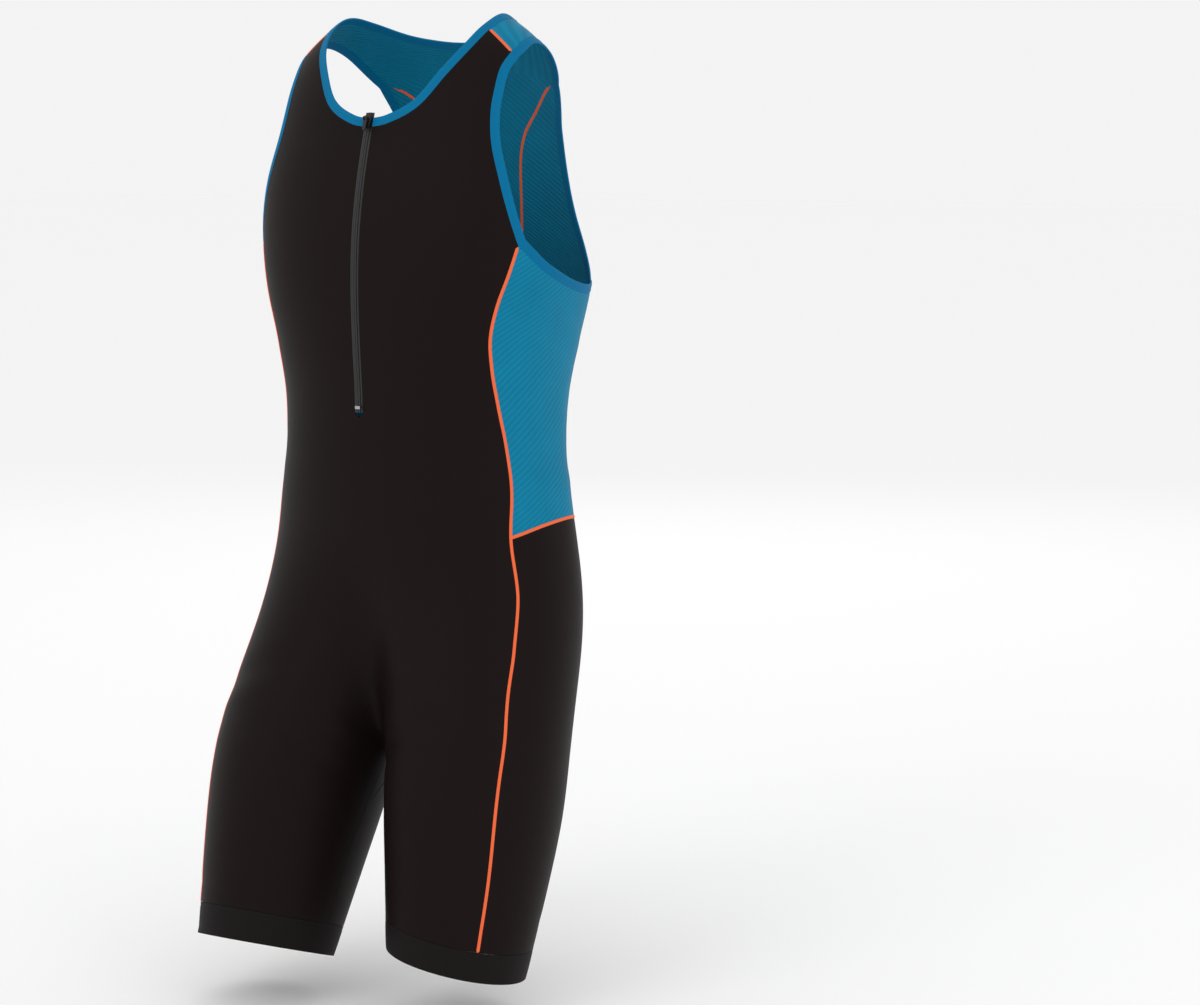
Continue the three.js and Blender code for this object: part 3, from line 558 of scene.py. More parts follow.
def mesh_object(name, points, faces, uv=None, smooth_angle=50):
    """A mesh in metres from points in millimetres and triangles or quads."""
    mesh = bpy.data.meshes.new(name)
    sides = faces.shape[1]
    mesh.vertices.add(len(points))
    mesh.vertices.foreach_set("co", (np.asarray(points, float) / 1000).ravel())
    mesh.loops.add(faces.size)
    mesh.loops.foreach_set("vertex_index", faces.ravel().astype(np.int32))
    mesh.polygons.add(len(faces))
    mesh.polygons.foreach_set("loop_start", np.arange(len(faces), dtype=np.int32) * sides)
    mesh.update(calc_edges=True)
    mesh.validate()
    if uv is not None:
        layer = mesh.uv_layers.new(name="millimetres")
        layer.data.foreach_set("uv", uv.ravel())
    mesh.shade_smooth()
    mesh.set_sharp_from_angle(angle=math.radians(smooth_angle))
    made = bpy.data.objects.new(name, mesh)
    bpy.context.scene.collection.objects.link(made)
    return made


def dress(made, material, body="suit", nodes=()):
    """Gives a piece its material and body, and hides the solids that it stands for."""
    made.data.materials.clear()
    made.data.materials.append(material)
    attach(made, body)
    if nodes:
        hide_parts(*nodes)
    return made


def cloth(name, grids, sides, material):
    """One panel of cloth, walled, with each corner's flat place in millimetres as its UV map."""
    points, faces, flats = weld(grids, sides)
    points = draw_back(points, open_edges(faces, len(points)), SEAM)
    solid, triangles, _, rim = wall(points, faces, 0, cloth_props().wall * 1000)
    uv = np.concatenate([flats, flats[:, ::-1], np.zeros((rim, 3, 2))])
    made = mesh_object(name + "_cloth", solid, triangles, uv)
    dress(made, material, nodes=[name])
    return made


def front_half(name):
    neck = on_curve(NECKLINE, steps(SHOULDER_NECK[1], neck_start(), NECK_ROWS))
    slit = steps(NECK_FRONT, ARM_FRONT_FOOT, 8 * R)
    upper_left = chain(neck, marks(slit, slit_turn(slit)))
    upper_right = on_seam(ARM_FRONT, steps(SHOULDER_ARM[0], ARM_FRONT_FOOT, NECK_ROWS + 8 * R))
    torso_left = marks(TORSO_FRONT, slit_turn(TORSO_FRONT))
    leg_left = inner_marks(inside_leg(HIP_FRONT, 13), -1, name)
    columns = COLUMNS["front"]
    upper = panel(upper_left, upper_right, columns)
    torso = panel(torso_left, on_seam(FRONT_SEAM, TORSO_FRONT), columns)
    leg = panel(leg_left, on_seam(FRONT_SEAM, LEG_FRONT), columns)
    return [to_points(upper, name), to_points(torso, name, 0), to_points(leg, name, 0)]


def side_grid(name):
    grid = panel(on_seam(FRONT_SEAM, TORSO_FRONT), on_seam(BACK_SEAM, TORSO_BACK), COLUMNS["side"],
                 ARM_FOOT, SIDE_WAIST)
    return to_points(grid, name)


def leg_side_grid(name):
    grid = panel(on_seam(FRONT_SEAM, LEG_FRONT), on_seam(BACK_SEAM, LEG_BACK), COLUMNS["side"],
                 SIDE_WAIST)
    return to_points(grid, name)


def back_centre_grid(name):
    neck = on_curve(NECKLINE, steps(SHOULDER_NECK[1], 180, NECK_ROWS))
    centre = steps(neck[-1, 0], WAIST_CENTRE, BACK_ROWS)
    left = chain(neck, marks(centre, 180.0))
    strap = on_curve(STRAP_EDGE, steps(SHOULDER_ARM[1], BACK_POINT[1], NECK_ROWS))
    seam = on_seam(PRINCESS, steps(BACK_POINT[0], WAIST_PRINCESS, BACK_ROWS))
    grid = panel(left, chain(strap, seam), COLUMNS["back_centre"], None, BACK_WAIST)
    points = place(grid[..., 0], grid[..., 1], name)
    points[:, 0, 0] = np.where(grid[:, 0, 1] > 179.99, 0, points[:, 0, 0])
    return points


def back_side_grid(name):
    seam = on_seam(PRINCESS, steps(BACK_POINT[0], WAIST_PRINCESS, BACK_ROWS))
    arm = on_seam(ARM_BACK, steps(BACK_POINT[0], ARM_BACK_FOOT, 8 * R))
    outer = chain(arm, on_seam(BACK_SEAM, TORSO_BACK))
    return to_points(panel(outer, seam, COLUMNS["back_side"], None, BACK_WAIST), name)


def yoke_grid(name):
    outer = on_seam(BACK_SEAM, steps(HIP_BACK, YOKE_SIDE, 4 * R))
    centre = inner_marks(steps(WAIST_CENTRE, YOKE_CENTRE, 4 * R), 1, name)
    grid = panel(outer, centre, 8, BACK_WAIST, YOKE_SEAM)
    return to_points(grid, name, -1, 1)


def seat_grid(name):
    outer = on_seam(BACK_SEAM, steps(YOKE_SIDE, HEM_SEAM, 16 * R))
    inner = inner_marks(inside_leg(YOKE_CENTRE, 9), 1, name)
    return to_points(panel(outer, inner, COLUMNS["seat"], YOKE_SEAM), name, -1, 1)


def smooth_chain(points, closed, spacing, soften):
    """The chain at even spacing, softened over a few millimetres by a moving average."""
    loop = np.concatenate([points, points[:1]]) if closed else points
    length = np.r_[0, np.linalg.norm(np.diff(loop, axis=0), axis=1).cumsum()]
    count = max(int(length[-1] / spacing), 4)
    at = np.linspace(0, length[-1], count + 1)
    even = np.stack([np.interp(at, length, loop[:, k]) for k in range(3)], -1)
    reach_out = max(int(soften / spacing), 1)
    bell = np.exp(-np.linspace(-1.8, 1.8, 2 * reach_out + 1) ** 2)
    bell /= bell.sum()
    if closed:
        even = even[:-1]
        padded = np.concatenate([even[-reach_out:], even, even[:reach_out]])
    else:
        ahead = 2 * even[-1] - even[-2:-2 - reach_out:-1]
        behind = 2 * even[0] - even[reach_out:0:-1]
        padded = np.concatenate([behind, even, ahead])
    return np.stack([np.convolve(padded[:, k], bell, "valid") for k in range(3)], -1)


def tangents(points, closed):
    if closed:
        return unit(np.roll(points, -1, 0) - np.roll(points, 1, 0))
    return unit(np.gradient(points, axis=0))


def capped(ring):
    """The rings with one more at each end, gathered in the end's middle point."""
    hubs = ring[[0, -1]].mean(1, keepdims=True) + ring[[0, -1]] * 0
    return np.concatenate([hubs[:1], ring, hubs[1:]])


def ring_faces(ring, closed):
    count, around = ring.shape[:2]
    ids = np.arange(count * around).reshape(count, around)
    nxt = np.roll(ids, -1, axis=1)
    last = count if closed else count - 1
    below = np.roll(ids, -1, axis=0)[:last]
    below_next = np.roll(nxt, -1, axis=0)[:last]
    quads = np.stack([ids[:last], nxt[:last], below_next, below], -1).reshape(-1, 4)
    return ring.reshape(-1, 3), quads


def thread(name, path, width, height, pitch, material, inner=0.0, spacing=0.6, slot="seam_thread"):
    """A flatlock seam: a low ridge of slanting stitches over the line where two panels meet.

    Height is (1 - a^2)^0.5 across, times a wave along the seam that leans with a. It tapers to
    nothing at both ends. inner is the depth of the panels' inner face, for the seam's back.
    """
    p = settle(smooth_chain(path, False, spacing, 3))
    n = normals(p)
    t = tangents(p, False)
    b = np.cross(n, t)
    length = np.arange(len(p)) * spacing
    from_end = np.minimum(length, length[::-1])
    taper = np.clip(from_end / 1.5, 0.05, 1)[:, None]
    a = np.linspace(-1, 1, 9)[None, :]
    wave = 0.82 + 0.18 * np.cos(2 * np.pi * (length[:, None] / pitch + 0.35 * a))
    rise = height * np.sqrt(np.maximum(1 - a * a, 0)) * wave
    lift = crease(p)[:, None, None]
    way = -1 if inner else 1
    base = p[:, None] + b[:, None] * (a * taper * width / 2)[..., None]
    top = base + n[:, None] * (lift - inner + way * rise[..., None] * taper[..., None])
    low = p[:, None] + b[:, None] * (a[:, 1:-1][:, ::-1] * taper * width / 2)[..., None]
    low = low + n[:, None] * (lift - inner - way * 0.35)
    ring = np.concatenate([top, low], axis=1)
    if way > 0:
        ring = ring[:, ::-1]
    points, quads = ring_faces(capped(ring), False)
    made = mesh_object(name, points, quads, smooth_angle=80)
    return dress(made, material)


def binding(name, path, closed, towards, width, proud, thick, material, nodes):
    """Folded elastic edging: it lies over the panels' edge, turns over and comes back inside.

    Its outer face has two stitch grooves, and the fold at the opening is a half circle.
    """
    p = smooth_chain(path, closed, 1.5, 7)
    p = settle(p)
    n = normals(p)
    t = tangents(p, closed)
    if not closed:
        t[[0, -1]] = np.sign(t[[0, -1]][:, :1]) * np.array([1.0, 0, 0])
    into = unit(np.cross(n, t)) * towards
    half = thick / 2
    d = np.linspace(-0.8, width - half, 20)
    groove = 0.3 * (np.exp(-((d - 1.2) / 0.4) ** 2) + np.exp(-((d - 3.4) / 0.4) ** 2))
    crown = 0.15 * np.sin(np.pi * np.clip((d - 3.4) / 3.4, 0, 1))
    edge = np.clip((d + 0.8) / 0.8, 0, 1) ** 0.5
    outer = np.stack([d, proud * (0.15 + 0.85 * edge) - groove + crown], -1)
    bend = np.linspace(0.5 * np.pi, -0.5 * np.pi, 9)[1:-1]
    fold = np.stack([width - half + half * np.cos(bend), proud - half + half * np.sin(bend)], -1)
    back = np.stack([d[::-2], np.full(10, proud - thick)], -1)
    profile = np.concatenate([outer, fold, back])
    base = p[:, None] + into[:, None] * profile[None, :, :1]
    base = settle(base)
    high = crease(base)[..., None] + profile[None, :, 1:2]
    ring = base + normals(base) * high
    if towards > 0:
        ring = ring[:, ::-1]
    points, quads = ring_faces(ring if closed else capped(ring), closed)
    around = np.arange(quads.shape[0])
    along = (around // len(profile)) * 1.5
    uv = np.repeat(np.stack([along, around % len(profile)], -1)[:, None].astype(float), 4, axis=1)
    made = mesh_object(name, points, quads, uv, smooth_angle=70)
    return dress(made, material, nodes=nodes)


def band_grid(name):
    """The band's rings, in step round the leg, from the seam above it to the hem."""
    inner = inner_turn(HEM_SEAM, -1, name)[0]
    turns = steps(inner, inner + 360, 240)
    stations = steps(HEM_SEAM, HEM, 19)
    return place(stations[:, None], turns[None, :], name)


def leg_band(name, thick, material):
    """Elastic band: its wall swells a little between the seam and the turned-up hem."""
    points, faces, flats = weld([band_grid(name)], [LEGS[name]["side"]])
    points = draw_back(points, open_edges(faces, len(points)), SEAM)
    solid, triangles, n, rim = wall(points, faces, 0, thick)
    count = len(points)
    tall = HEM - HEM_SEAM
    down = np.clip(np.tile(station_of(points, name) - HEM_SEAM, 2) / tall, 0, 1)
    swell = 0.35 * np.sin(np.pi * down) ** 0.5 - 0.3 * np.exp(-((down - 0.1) / 0.035) ** 2)
    outward = np.where(np.arange(2 * count) < count, 1.0, 0.3)
    solid = solid + np.tile(n, (2, 1)) * (swell * outward)[:, None]
    uv = np.concatenate([flats, flats[:, ::-1], np.zeros((rim, 3, 2))])
    made = mesh_object("leg_band_" + name + "_elastic", solid, triangles, uv)
    dress(made, material, nodes=["leg_band_" + name])
    return made


def station_of(points, name):
    """Station of points on a leg's band, by their distance from the two end rings' planes."""
    top = place(HEM_SEAM, np.array([0.0, 90, 180, 270]), name)
    foot = place(HEM, np.array([0.0, 90, 180, 270]), name)
    n = unit(np.cross(top[1] - top[0], top[2] - top[0]))
    high, low = abs((points - top[0]) @ n), abs((points - foot[0]) @ n)
    return HEM_SEAM + (HEM - HEM_SEAM) * high / np.maximum(high + low, 1e-6)


def zip_line(start, end, spacing):
    """Points down the middle of the front with their normals and downward directions."""
    v = steps(start, end, int((end - start) / spacing))
    p = middle_points(v, -1)
    n = normals(p)
    return p, n, tangents(p, False)


def zip_band(name, start, end, spacing, profile, wave, material, nodes):
    """A strip down the zip from a closed profile of (sideways, out) rows.

    wave gives the height to add, from the distance along and each profile row's sideways place.
    """
    p, n, _ = zip_line(start, end, spacing)
    s = np.arange(len(p)) * spacing
    out = profile[None, :, 1] + wave(s[:, None], profile[None, :, 0]) * (profile[None, :, 1] > 0)
    sideways = np.array([1.0, 0, 0]) * profile[None, :, :1]
    ring = p[:, None] + sideways + n[:, None] * out[..., None]
    points, quads = ring_faces(capped(ring), False)
    made = mesh_object(name, points, quads, smooth_angle=60)
    return dress(made, material, nodes=nodes)


def metal_piece(node, bevel, material, body):
    """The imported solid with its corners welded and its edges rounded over."""
    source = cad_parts[node]
    mesh = source.data.copy()
    made = bpy.data.objects.new(node + "_metal", mesh)
    bpy.context.scene.collection.objects.link(made)
    made.matrix_world = source.matrix_world
    bm = bmesh.new()
    bm.from_mesh(mesh)
    bmesh.ops.transform(bm, matrix=made.matrix_world, verts=bm.verts)
    bmesh.ops.remove_doubles(bm, verts=bm.verts, dist=0.00001)
    bmesh.ops.dissolve_limit(bm, angle_limit=math.radians(2), verts=bm.verts, edges=bm.edges)
    sharp = [e for e in bm.edges if e.is_manifold and e.calc_face_angle() > math.radians(35)]
    bmesh.ops.bevel(bm, geom=sharp, offset=bevel / 1000, segments=3, profile=0.6, affect="EDGES",
                    clamp_overlap=True)
    bm.to_mesh(mesh)
    bm.free()
    made.matrix_world.identity()
    mesh.shade_smooth()
    mesh.set_sharp_from_angle(angle=math.radians(40))
    return dress(made, material, body=body, nodes=[node])


def linear(hex_colour):
    """An sRGB hex colour as the linear colour that shaders take."""
    channels = [int(hex_colour[i:i + 2], 16) / 255 for i in (1, 3, 5)]
    return [c / 12.92 if c <= 0.04045 else ((c + 0.055) / 1.055) ** 2.4 for c in channels] + [1.0]


def add(tree, kind, inputs=None, **settings):
    """Adds a node with its settings, and links or sets its inputs."""
    made = tree.nodes.new(kind)
    for key, value in settings.items():
        setattr(made, key, value)
    for key, value in (inputs or {}).items():
        if isinstance(value, bpy.types.NodeSocket):
            tree.links.new(value, made.inputs[key])
        else:
            made.inputs[key].default_value = value
    return made


def new_material(name, values):
    """An empty node material with one principled shader and its uniform values."""
    made = bpy.data.materials.new(name)
    made.use_nodes = True
    tree = made.node_tree
    tree.nodes.clear()
    shader = add(tree, "ShaderNodeBsdfPrincipled")
    add(tree, "ShaderNodeOutputMaterial", {"Surface": shader.outputs[0]})
    for key, value in values.items():
        shader.inputs[key].default_value = value
    return made, tree, shader


def wave_of(tree, vector, angle, period, detail=0.0):
    """Parallel waves across a flat place in millimetres, at an angle and with a period."""
    turned = add(tree, "ShaderNodeMapping", {"Vector": vector, "Rotation": (0, 0, math.radians(angle))})
    return add(tree, "ShaderNodeTexWave", {
        "Vector": turned.outputs[0], "Scale": 0.31416 / period, "Distortion": detail,
        "Detail": 1.0, "Detail Scale": 0.6,
    }, wave_type="BANDS", bands_direction="Y", wave_profile="SIN")


def blue_knit(lit, shade):
    """Polyester and elastane, warp knitted with slanting ribs of tuck loops.

    The ribs catch the light on one flank; the base colour paints this in as a painted highlight on the
    ridges and painted shade in the grooves, so the cloth shows fine slanting stripes, paler on top.
    """
    made, tree, shader = new_material("blue_rib_warp_knit", {
        "Roughness": 0.6, "Specular IOR Level": 0.12,
    })
    flat = add(tree, "ShaderNodeUVMap", uv_map="millimetres").outputs[0]
    ribs = wave_of(tree, flat, 34, 4.8, 1.2).outputs["Fac"]
    loops = wave_of(tree, flat, 90, 1.1, 0.4).outputs["Fac"]
    courses = wave_of(tree, flat, 0, 0.9, 0.4).outputs["Fac"]
    fine = add(tree, "ShaderNodeMath", {0: loops, 1: courses}, operation="MULTIPLY").outputs[0]
    object_place = add(tree, "ShaderNodeTexCoord").outputs["Object"]
    patches = add(tree, "ShaderNodeTexNoise", {"Vector": object_place, "Scale": 26.0, "Detail": 2.0})
    paler = add(tree, "ShaderNodeMath", {0: patches.outputs["Fac"], 1: 0.5}, operation="MULTIPLY")
    # Painted light: the ribs mix lit, a painted highlight on the ridges, with shade, painted shade in the
    # grooves; the noise patches add a random paler tone.
    amount = add(tree, "ShaderNodeMath", {0: ribs, 1: 0.42, 2: paler.outputs[0]},
                 operation="MULTIPLY_ADD").outputs[0]
    colour = add(tree, "ShaderNodeMix", {0: amount, 6: shade, 7: lit}, data_type="RGBA")
    height = add(tree, "ShaderNodeMath", {0: fine, 1: 0.25, 2: ribs},
                 operation="MULTIPLY_ADD").outputs[0]
    bump = add(tree, "ShaderNodeBump", {"Height": height, "Distance": 0.0004, "Strength": 0.55})
    tree.links.new(colour.outputs[2], shader.inputs["Base Color"])
    tree.links.new(bump.outputs[0], shader.inputs["Normal"])
    return made


def black_lycra(base):
    """Nylon and elastane, a smooth close knit with a dull calendered face.

    Almost flat, with a faint grain of courses and a soft sheen where it turns away.
    """
    made, tree, shader = new_material("black_smooth_tricot", {
        "Base Color": base, "Roughness": 0.5, "Specular IOR Level": 0.06,
    })
    flat = add(tree, "ShaderNodeUVMap", uv_map="millimetres").outputs[0]
    wales = wave_of(tree, flat, 90, 0.8, 0.3).outputs["Fac"]
    courses = wave_of(tree, flat, 12, 1.0, 0.3).outputs["Fac"]
    object_place = add(tree, "ShaderNodeTexCoord").outputs["Object"]
    soft = add(tree, "ShaderNodeTexNoise", {"Vector": object_place, "Scale": 40.0, "Detail": 3.0})
    grain = add(tree, "ShaderNodeMath", {0: wales, 1: courses}, operation="MULTIPLY").outputs[0]
    height = add(tree, "ShaderNodeMath", {0: grain, 1: 0.6, 2: soft.outputs["Fac"]},
                 operation="MULTIPLY_ADD").outputs[0]
    bump = add(tree, "ShaderNodeBump", {"Height": height, "Distance": 0.0002, "Strength": 0.4})
    tree.links.new(bump.outputs[0], shader.inputs["Normal"])
    return made


def ribbed_elastic(name, base):
    """Woven elastic: covered rubber strands side by side, so it has fine even ribs."""
    made, tree, shader = new_material(name, {
        "Base Color": base, "Roughness": 0.6, "Specular IOR Level": 0.08,
    })
    flat = add(tree, "ShaderNodeUVMap", uv_map="millimetres").outputs[0]
    ribs = wave_of(tree, flat, 0, 1.3).outputs["Fac"]
    bump = add(tree, "ShaderNodeBump", {"Height": ribs, "Distance": 0.00025, "Strength": 0.5})
    tree.links.new(bump.outputs[0], shader.inputs["Normal"])
    return made


def thread_material(name, base):
    """Textured polyester overlock thread: soft, a little shiny, with fine strands."""
    made, tree, shader = new_material(name, {
        "Base Color": base, "Roughness": 0.55, "Specular IOR Level": 0.2,
    })
    object_place = add(tree, "ShaderNodeTexCoord").outputs["Object"]
    strands = add(tree, "ShaderNodeTexNoise", {"Vector": object_place, "Scale": 2600.0, "Detail": 1.0})
    bump = add(tree, "ShaderNodeBump", {
        "Height": strands.outputs["Fac"], "Distance": 0.00015, "Strength": 0.5,
    })
    tree.links.new(bump.outputs[0], shader.inputs["Normal"])
    return made


def nylon_material(base):
    """Extruded nylon monofilament, wound as a coil: dark with a narrow gloss."""
    return new_material("black_nylon_coil", {"Base Color": base, "Roughness": 0.42})[0]


def metal_material(name, base, metallic, roughness):
    """Die-cast zinc, painted or plated: small scratches scatter its highlights."""
    made, tree, shader = new_material(name, {"Base Color": base, "Metallic": metallic})
    object_place = add(tree, "ShaderNodeTexCoord").outputs["Object"]
    grain = add(tree, "ShaderNodeTexNoise", {"Vector": object_place, "Scale": 900.0, "Detail": 2.0})
    rough = add(tree, "ShaderNodeMapRange", {
        "Value": grain.outputs["Fac"], "To Min": roughness - 0.06, "To Max": roughness + 0.1,
    })
    tree.links.new(rough.outputs[0], shader.inputs["Roughness"])
    return made


class SuitCloth(bpy.types.PropertyGroup):
    """Thickness and colours of the panels."""

    wall: FloatProperty(name="Cloth", description="Thickness of the knitted panels",
                        default=0.0012, min=0.001, max=0.003, unit="LENGTH")
    band_wall: FloatProperty(name="Leg band", description="Thickness of the elastic leg bands",
                             default=0.0014, min=0.001, max=0.003, unit="LENGTH")
    black: FloatVectorProperty(name="Black", description="Colour of the black knit", size=4,
                               subtype="COLOR", min=0, max=1, default=linear("#181110"))
    band: FloatVectorProperty(name="Band", description="Colour of the leg bands", size=4,
                              subtype="COLOR", min=0, max=1, default=linear("#171313"))
    # Painted light: blue_lit is a painted highlight on the knit's ridges and blue_shade is painted shade
    # between them.
    blue_lit: FloatVectorProperty(name="Blue ridge", description="Colour of the blue knit's ridges",
                                  size=4, subtype="COLOR", min=0, max=1, default=linear("#0086AC"))
    blue_shade: FloatVectorProperty(name="Blue groove", description="Colour between the ridges",
                                    size=4, subtype="COLOR", min=0, max=1, default=linear("#006A8A"))


class SuitSewing(bpy.types.PropertyGroup):
    """Sizes and colours of the seams and edging."""

    width: FloatProperty(name="Seam width", description="Width of a flatlock seam",
                         default=0.0031, min=0.002, max=0.008, unit="LENGTH")
    height: FloatProperty(name="Seam height", description="Height of a flatlock seam",
                          default=0.0006, min=0.0002, max=0.002, unit="LENGTH")
    stitch: FloatProperty(name="Stitch", description="Length of one stitch along a seam",
                          default=0.0024, min=0.001, max=0.006, unit="LENGTH")
    thread: FloatVectorProperty(name="Thread", description="Colour of the seam threads", size=4,
                                subtype="COLOR", min=0, max=1, default=linear("#F0683A"))
    edging: FloatVectorProperty(name="Edging", description="Colour of the elastic edging", size=4,
                                subtype="COLOR", min=0, max=1, default=linear("#006C98"))
    edging_proud: FloatProperty(name="Edging height", description="Edging above the panels",
                                default=0.0005, min=0.0002, max=0.001, unit="LENGTH")
    edging_wall: FloatProperty(name="Edging thickness", description="Thickness of the folded edging",
                               default=0.002, min=0.001, max=0.003, unit="LENGTH")


class SuitZip(bpy.types.PropertyGroup):
    """Sizes and colours of the zip."""

    pitch: FloatProperty(name="Coil pitch", description="Distance from one coil turn to the next",
                         default=0.0013, min=0.0008, max=0.003, unit="LENGTH")
    nylon: FloatVectorProperty(name="Coil", description="Colour of the coil and tape", size=4,
                               subtype="COLOR", min=0, max=1, default=linear("#0B090A"))
    metal: FloatVectorProperty(name="Slider", description="Colour of the painted slider", size=4,
                               subtype="COLOR", min=0, max=1, default=linear("#1C1A1B"))
    stop: FloatVectorProperty(name="Stop", description="Colour of the plated stop", size=4,
                              subtype="COLOR", min=0, max=1, default=linear("#A9ABAE"))


class SuitStage(bpy.types.PropertyGroup):
    """Floor, light and camera."""

    floor_drop: FloatProperty(name="Floor drop", description="Floor below the origin",
                              default=0.93, min=0.9, max=2, unit="LENGTH")
    key: FloatProperty(name="Key light", description="Power of the key light", default=14,
                       min=1, max=500, unit="POWER")
    fill: FloatProperty(name="Fill light", description="Power of the fill light", default=7,
                        min=1, max=500, unit="POWER")
    world: FloatProperty(name="World", description="Brightness of the surroundings", default=0.9,
                         min=0, max=5)
    distance: FloatProperty(name="Camera distance", description="Camera from the suit's axis",
                            default=2.7, min=1.5, max=6, unit="LENGTH")


def cloth_props():
    return bpy.context.scene.suit_cloth


def sewing_props():
    return bpy.context.scene.suit_sewing


def material(name, build, *values):
    """The material with this name, built once."""
    return bpy.data.materials.get(name) or build(*values)


def black():
    return material("black_smooth_tricot", black_lycra, tuple(cloth_props().black))


def blue():
    props = cloth_props()
    return material("blue_rib_warp_knit", blue_knit, tuple(props.blue_lit), tuple(props.blue_shade))


def thread_finish():
    return material("orange_flatlock_thread", thread_material, "orange_flatlock_thread",
                    tuple(sewing_props().thread))


def black_thread():
    return material("black_lockstitch_thread", thread_material, "black_lockstitch_thread",
                    tuple(cloth_props().band))


def edging_finish():
    return material("blue_folded_elastic", ribbed_elastic, "blue_folded_elastic",
                    tuple(sewing_props().edging))


def nylon():
    return material("black_nylon_coil", nylon_material, tuple(bpy.context.scene.suit_zip.nylon))


class SUIT_OT_front(bpy.types.Operator):
    """Makes the black front, slit for the zip."""

    bl_idname = "suit.front"
    bl_label = "Front"

    def execute(self, context):
        grids, sides = [], []
        for name in LEGS:
            halves = front_half(name)
            grids += halves
            sides += [LEGS[name]["side"]] * len(halves)
        cloth("front", grids, sides, black())
        return {"FINISHED"}


class SUIT_OT_back(bpy.types.Operator):
    """Makes the blue panels of the back."""

    bl_idname = "suit.back"
    bl_label = "Back"

    def execute(self, context):
        grids = [back_centre_grid(name) for name in LEGS]
        from_centre = [-LEGS[name]["side"] for name in LEGS]
        cloth("back_centre", grids, from_centre, blue())
        for name in LEGS:
            cloth("back_" + name, [back_side_grid(name)], [LEGS[name]["side"]], blue())
        return {"FINISHED"}


class SUIT_OT_sides(bpy.types.Operator):
    """Makes the blue sides and the black sides of the legs."""

    bl_idname = "suit.sides"
    bl_label = "Sides"

    def execute(self, context):
        for name in LEGS:
            side = [LEGS[name]["side"]]
            cloth("side_" + name, [side_grid(name)], side, blue())
            cloth("leg_side_" + name, [leg_side_grid(name)], side, black())
        return {"FINISHED"}


class SUIT_OT_seat(bpy.types.Operator):
    """Makes the black yoke and the seat with the backs of the legs."""

    bl_idname = "suit.seat"
    bl_label = "Yoke and seat"

    def execute(self, context):
        sides = [LEGS[name]["side"] for name in LEGS]
        cloth("back_yoke", [yoke_grid(name) for name in LEGS], sides, black())
        cloth("seat", [seat_grid(name) for name in LEGS], sides, black())
        return {"FINISHED"}


class SUIT_OT_bands(bpy.types.Operator):
    """Makes the elastic leg bands."""

    bl_idname = "suit.bands"
    bl_label = "Leg bands"

    def execute(self, context):
        props = context.scene.suit_cloth
        finish = ribbed_elastic("black_woven_elastic", tuple(props.band))
        for name in LEGS:
            leg_band(name, props.band_wall * 1000, finish)
        return {"FINISHED"}


class SUIT_OT_edging(bpy.types.Operator):
    """Makes the folded elastic edging of the neck and armholes."""

    bl_idname = "suit.edging"
    bl_label = "Edging"

    def execute(self, context):
        props = context.scene.suit_sewing
        proud, thick = props.edging_proud * 1000, props.edging_wall * 1000
        for name in LEGS:
            path = [
                on_seam(ARM_FRONT, steps(SHOULDER_ARM[0], ARM_FRONT_FOOT, 60)),
                on_curve(ARM_FOOT, steps(*ARM_FOOT["turn"][[0, -1]], 60)),
                on_seam(ARM_BACK, steps(ARM_BACK_FOOT, BACK_POINT[0], 80)),
                on_curve(STRAP_EDGE, steps(BACK_POINT[1], SHOULDER_ARM[1], 40)),
            ]
            path = chain(*path)[:-1]
            points = place(path[:, 0], path[:, 1], name)
            binding("arm_edging_" + name + "_elastic", points, True, LEGS[name]["side"],
                    BINDING_WIDTH, proud, thick, edging_finish(), ["arm_edging_" + name])
        halves = []
        for name in ("left", "right"):
            turns = chain(steps(neck_start(), SHOULDER_NECK[1], 60), steps(SHOULDER_NECK[1], 180, 70))
            path = on_curve(NECKLINE, turns)
            halves.append(place(path[:, 0], path[:, 1], name))
        points = chain(halves[0], halves[1][::-1])
        binding("neck_edging_elastic", points, False, 1, BINDING_WIDTH, proud, thick,
                edging_finish(), ["neck_edging"])
        return {"FINISHED"}


def seam_paths():
    """Each flatlock seam's name and the points that it runs through."""
    paths = {}
    for name in LEGS:
        lines = {
            "front_seam_": on_seam(FRONT_SEAM, steps(ARM_FRONT_FOOT + 2, HEM_SEAM, 320)),
            "back_seam_": on_seam(BACK_SEAM, steps(ARM_BACK_FOOT + 2, HEM_SEAM, 300)),
            "princess_seam_": on_seam(PRINCESS, steps(BACK_POINT[0] + 1, WAIST_PRINCESS, 260)),
            "shoulder_seam_": marks(*(steps(SHOULDER_NECK[i] + (0.5, 0.1)[i],
                                            SHOULDER_ARM[i] - (0.5, 0.1)[i], 24) for i in (0, 1))),
        }
        for key, line in lines.items():
            paths[key + name] = place(line[:, 0], line[:, 1], name)
    waist = chain(on_curve(SIDE_WAIST, steps(*SIDE_WAIST["turn"][[0, -1]], 90)),
                  on_curve(BACK_WAIST, steps(BACK_WAIST["turn"][0], 180, 90)))
    yoke = on_curve(YOKE_SEAM, steps(YOKE_SEAM["turn"][0], 180, 90))
    for key, line in (("waist_seam", waist), ("yoke_seam", yoke)):
        left = place(line[:, 0], line[:, 1], "left")
        right = place(line[:, 0], line[:, 1], "right")
        paths[key] = chain(left, right[::-1])
    return paths


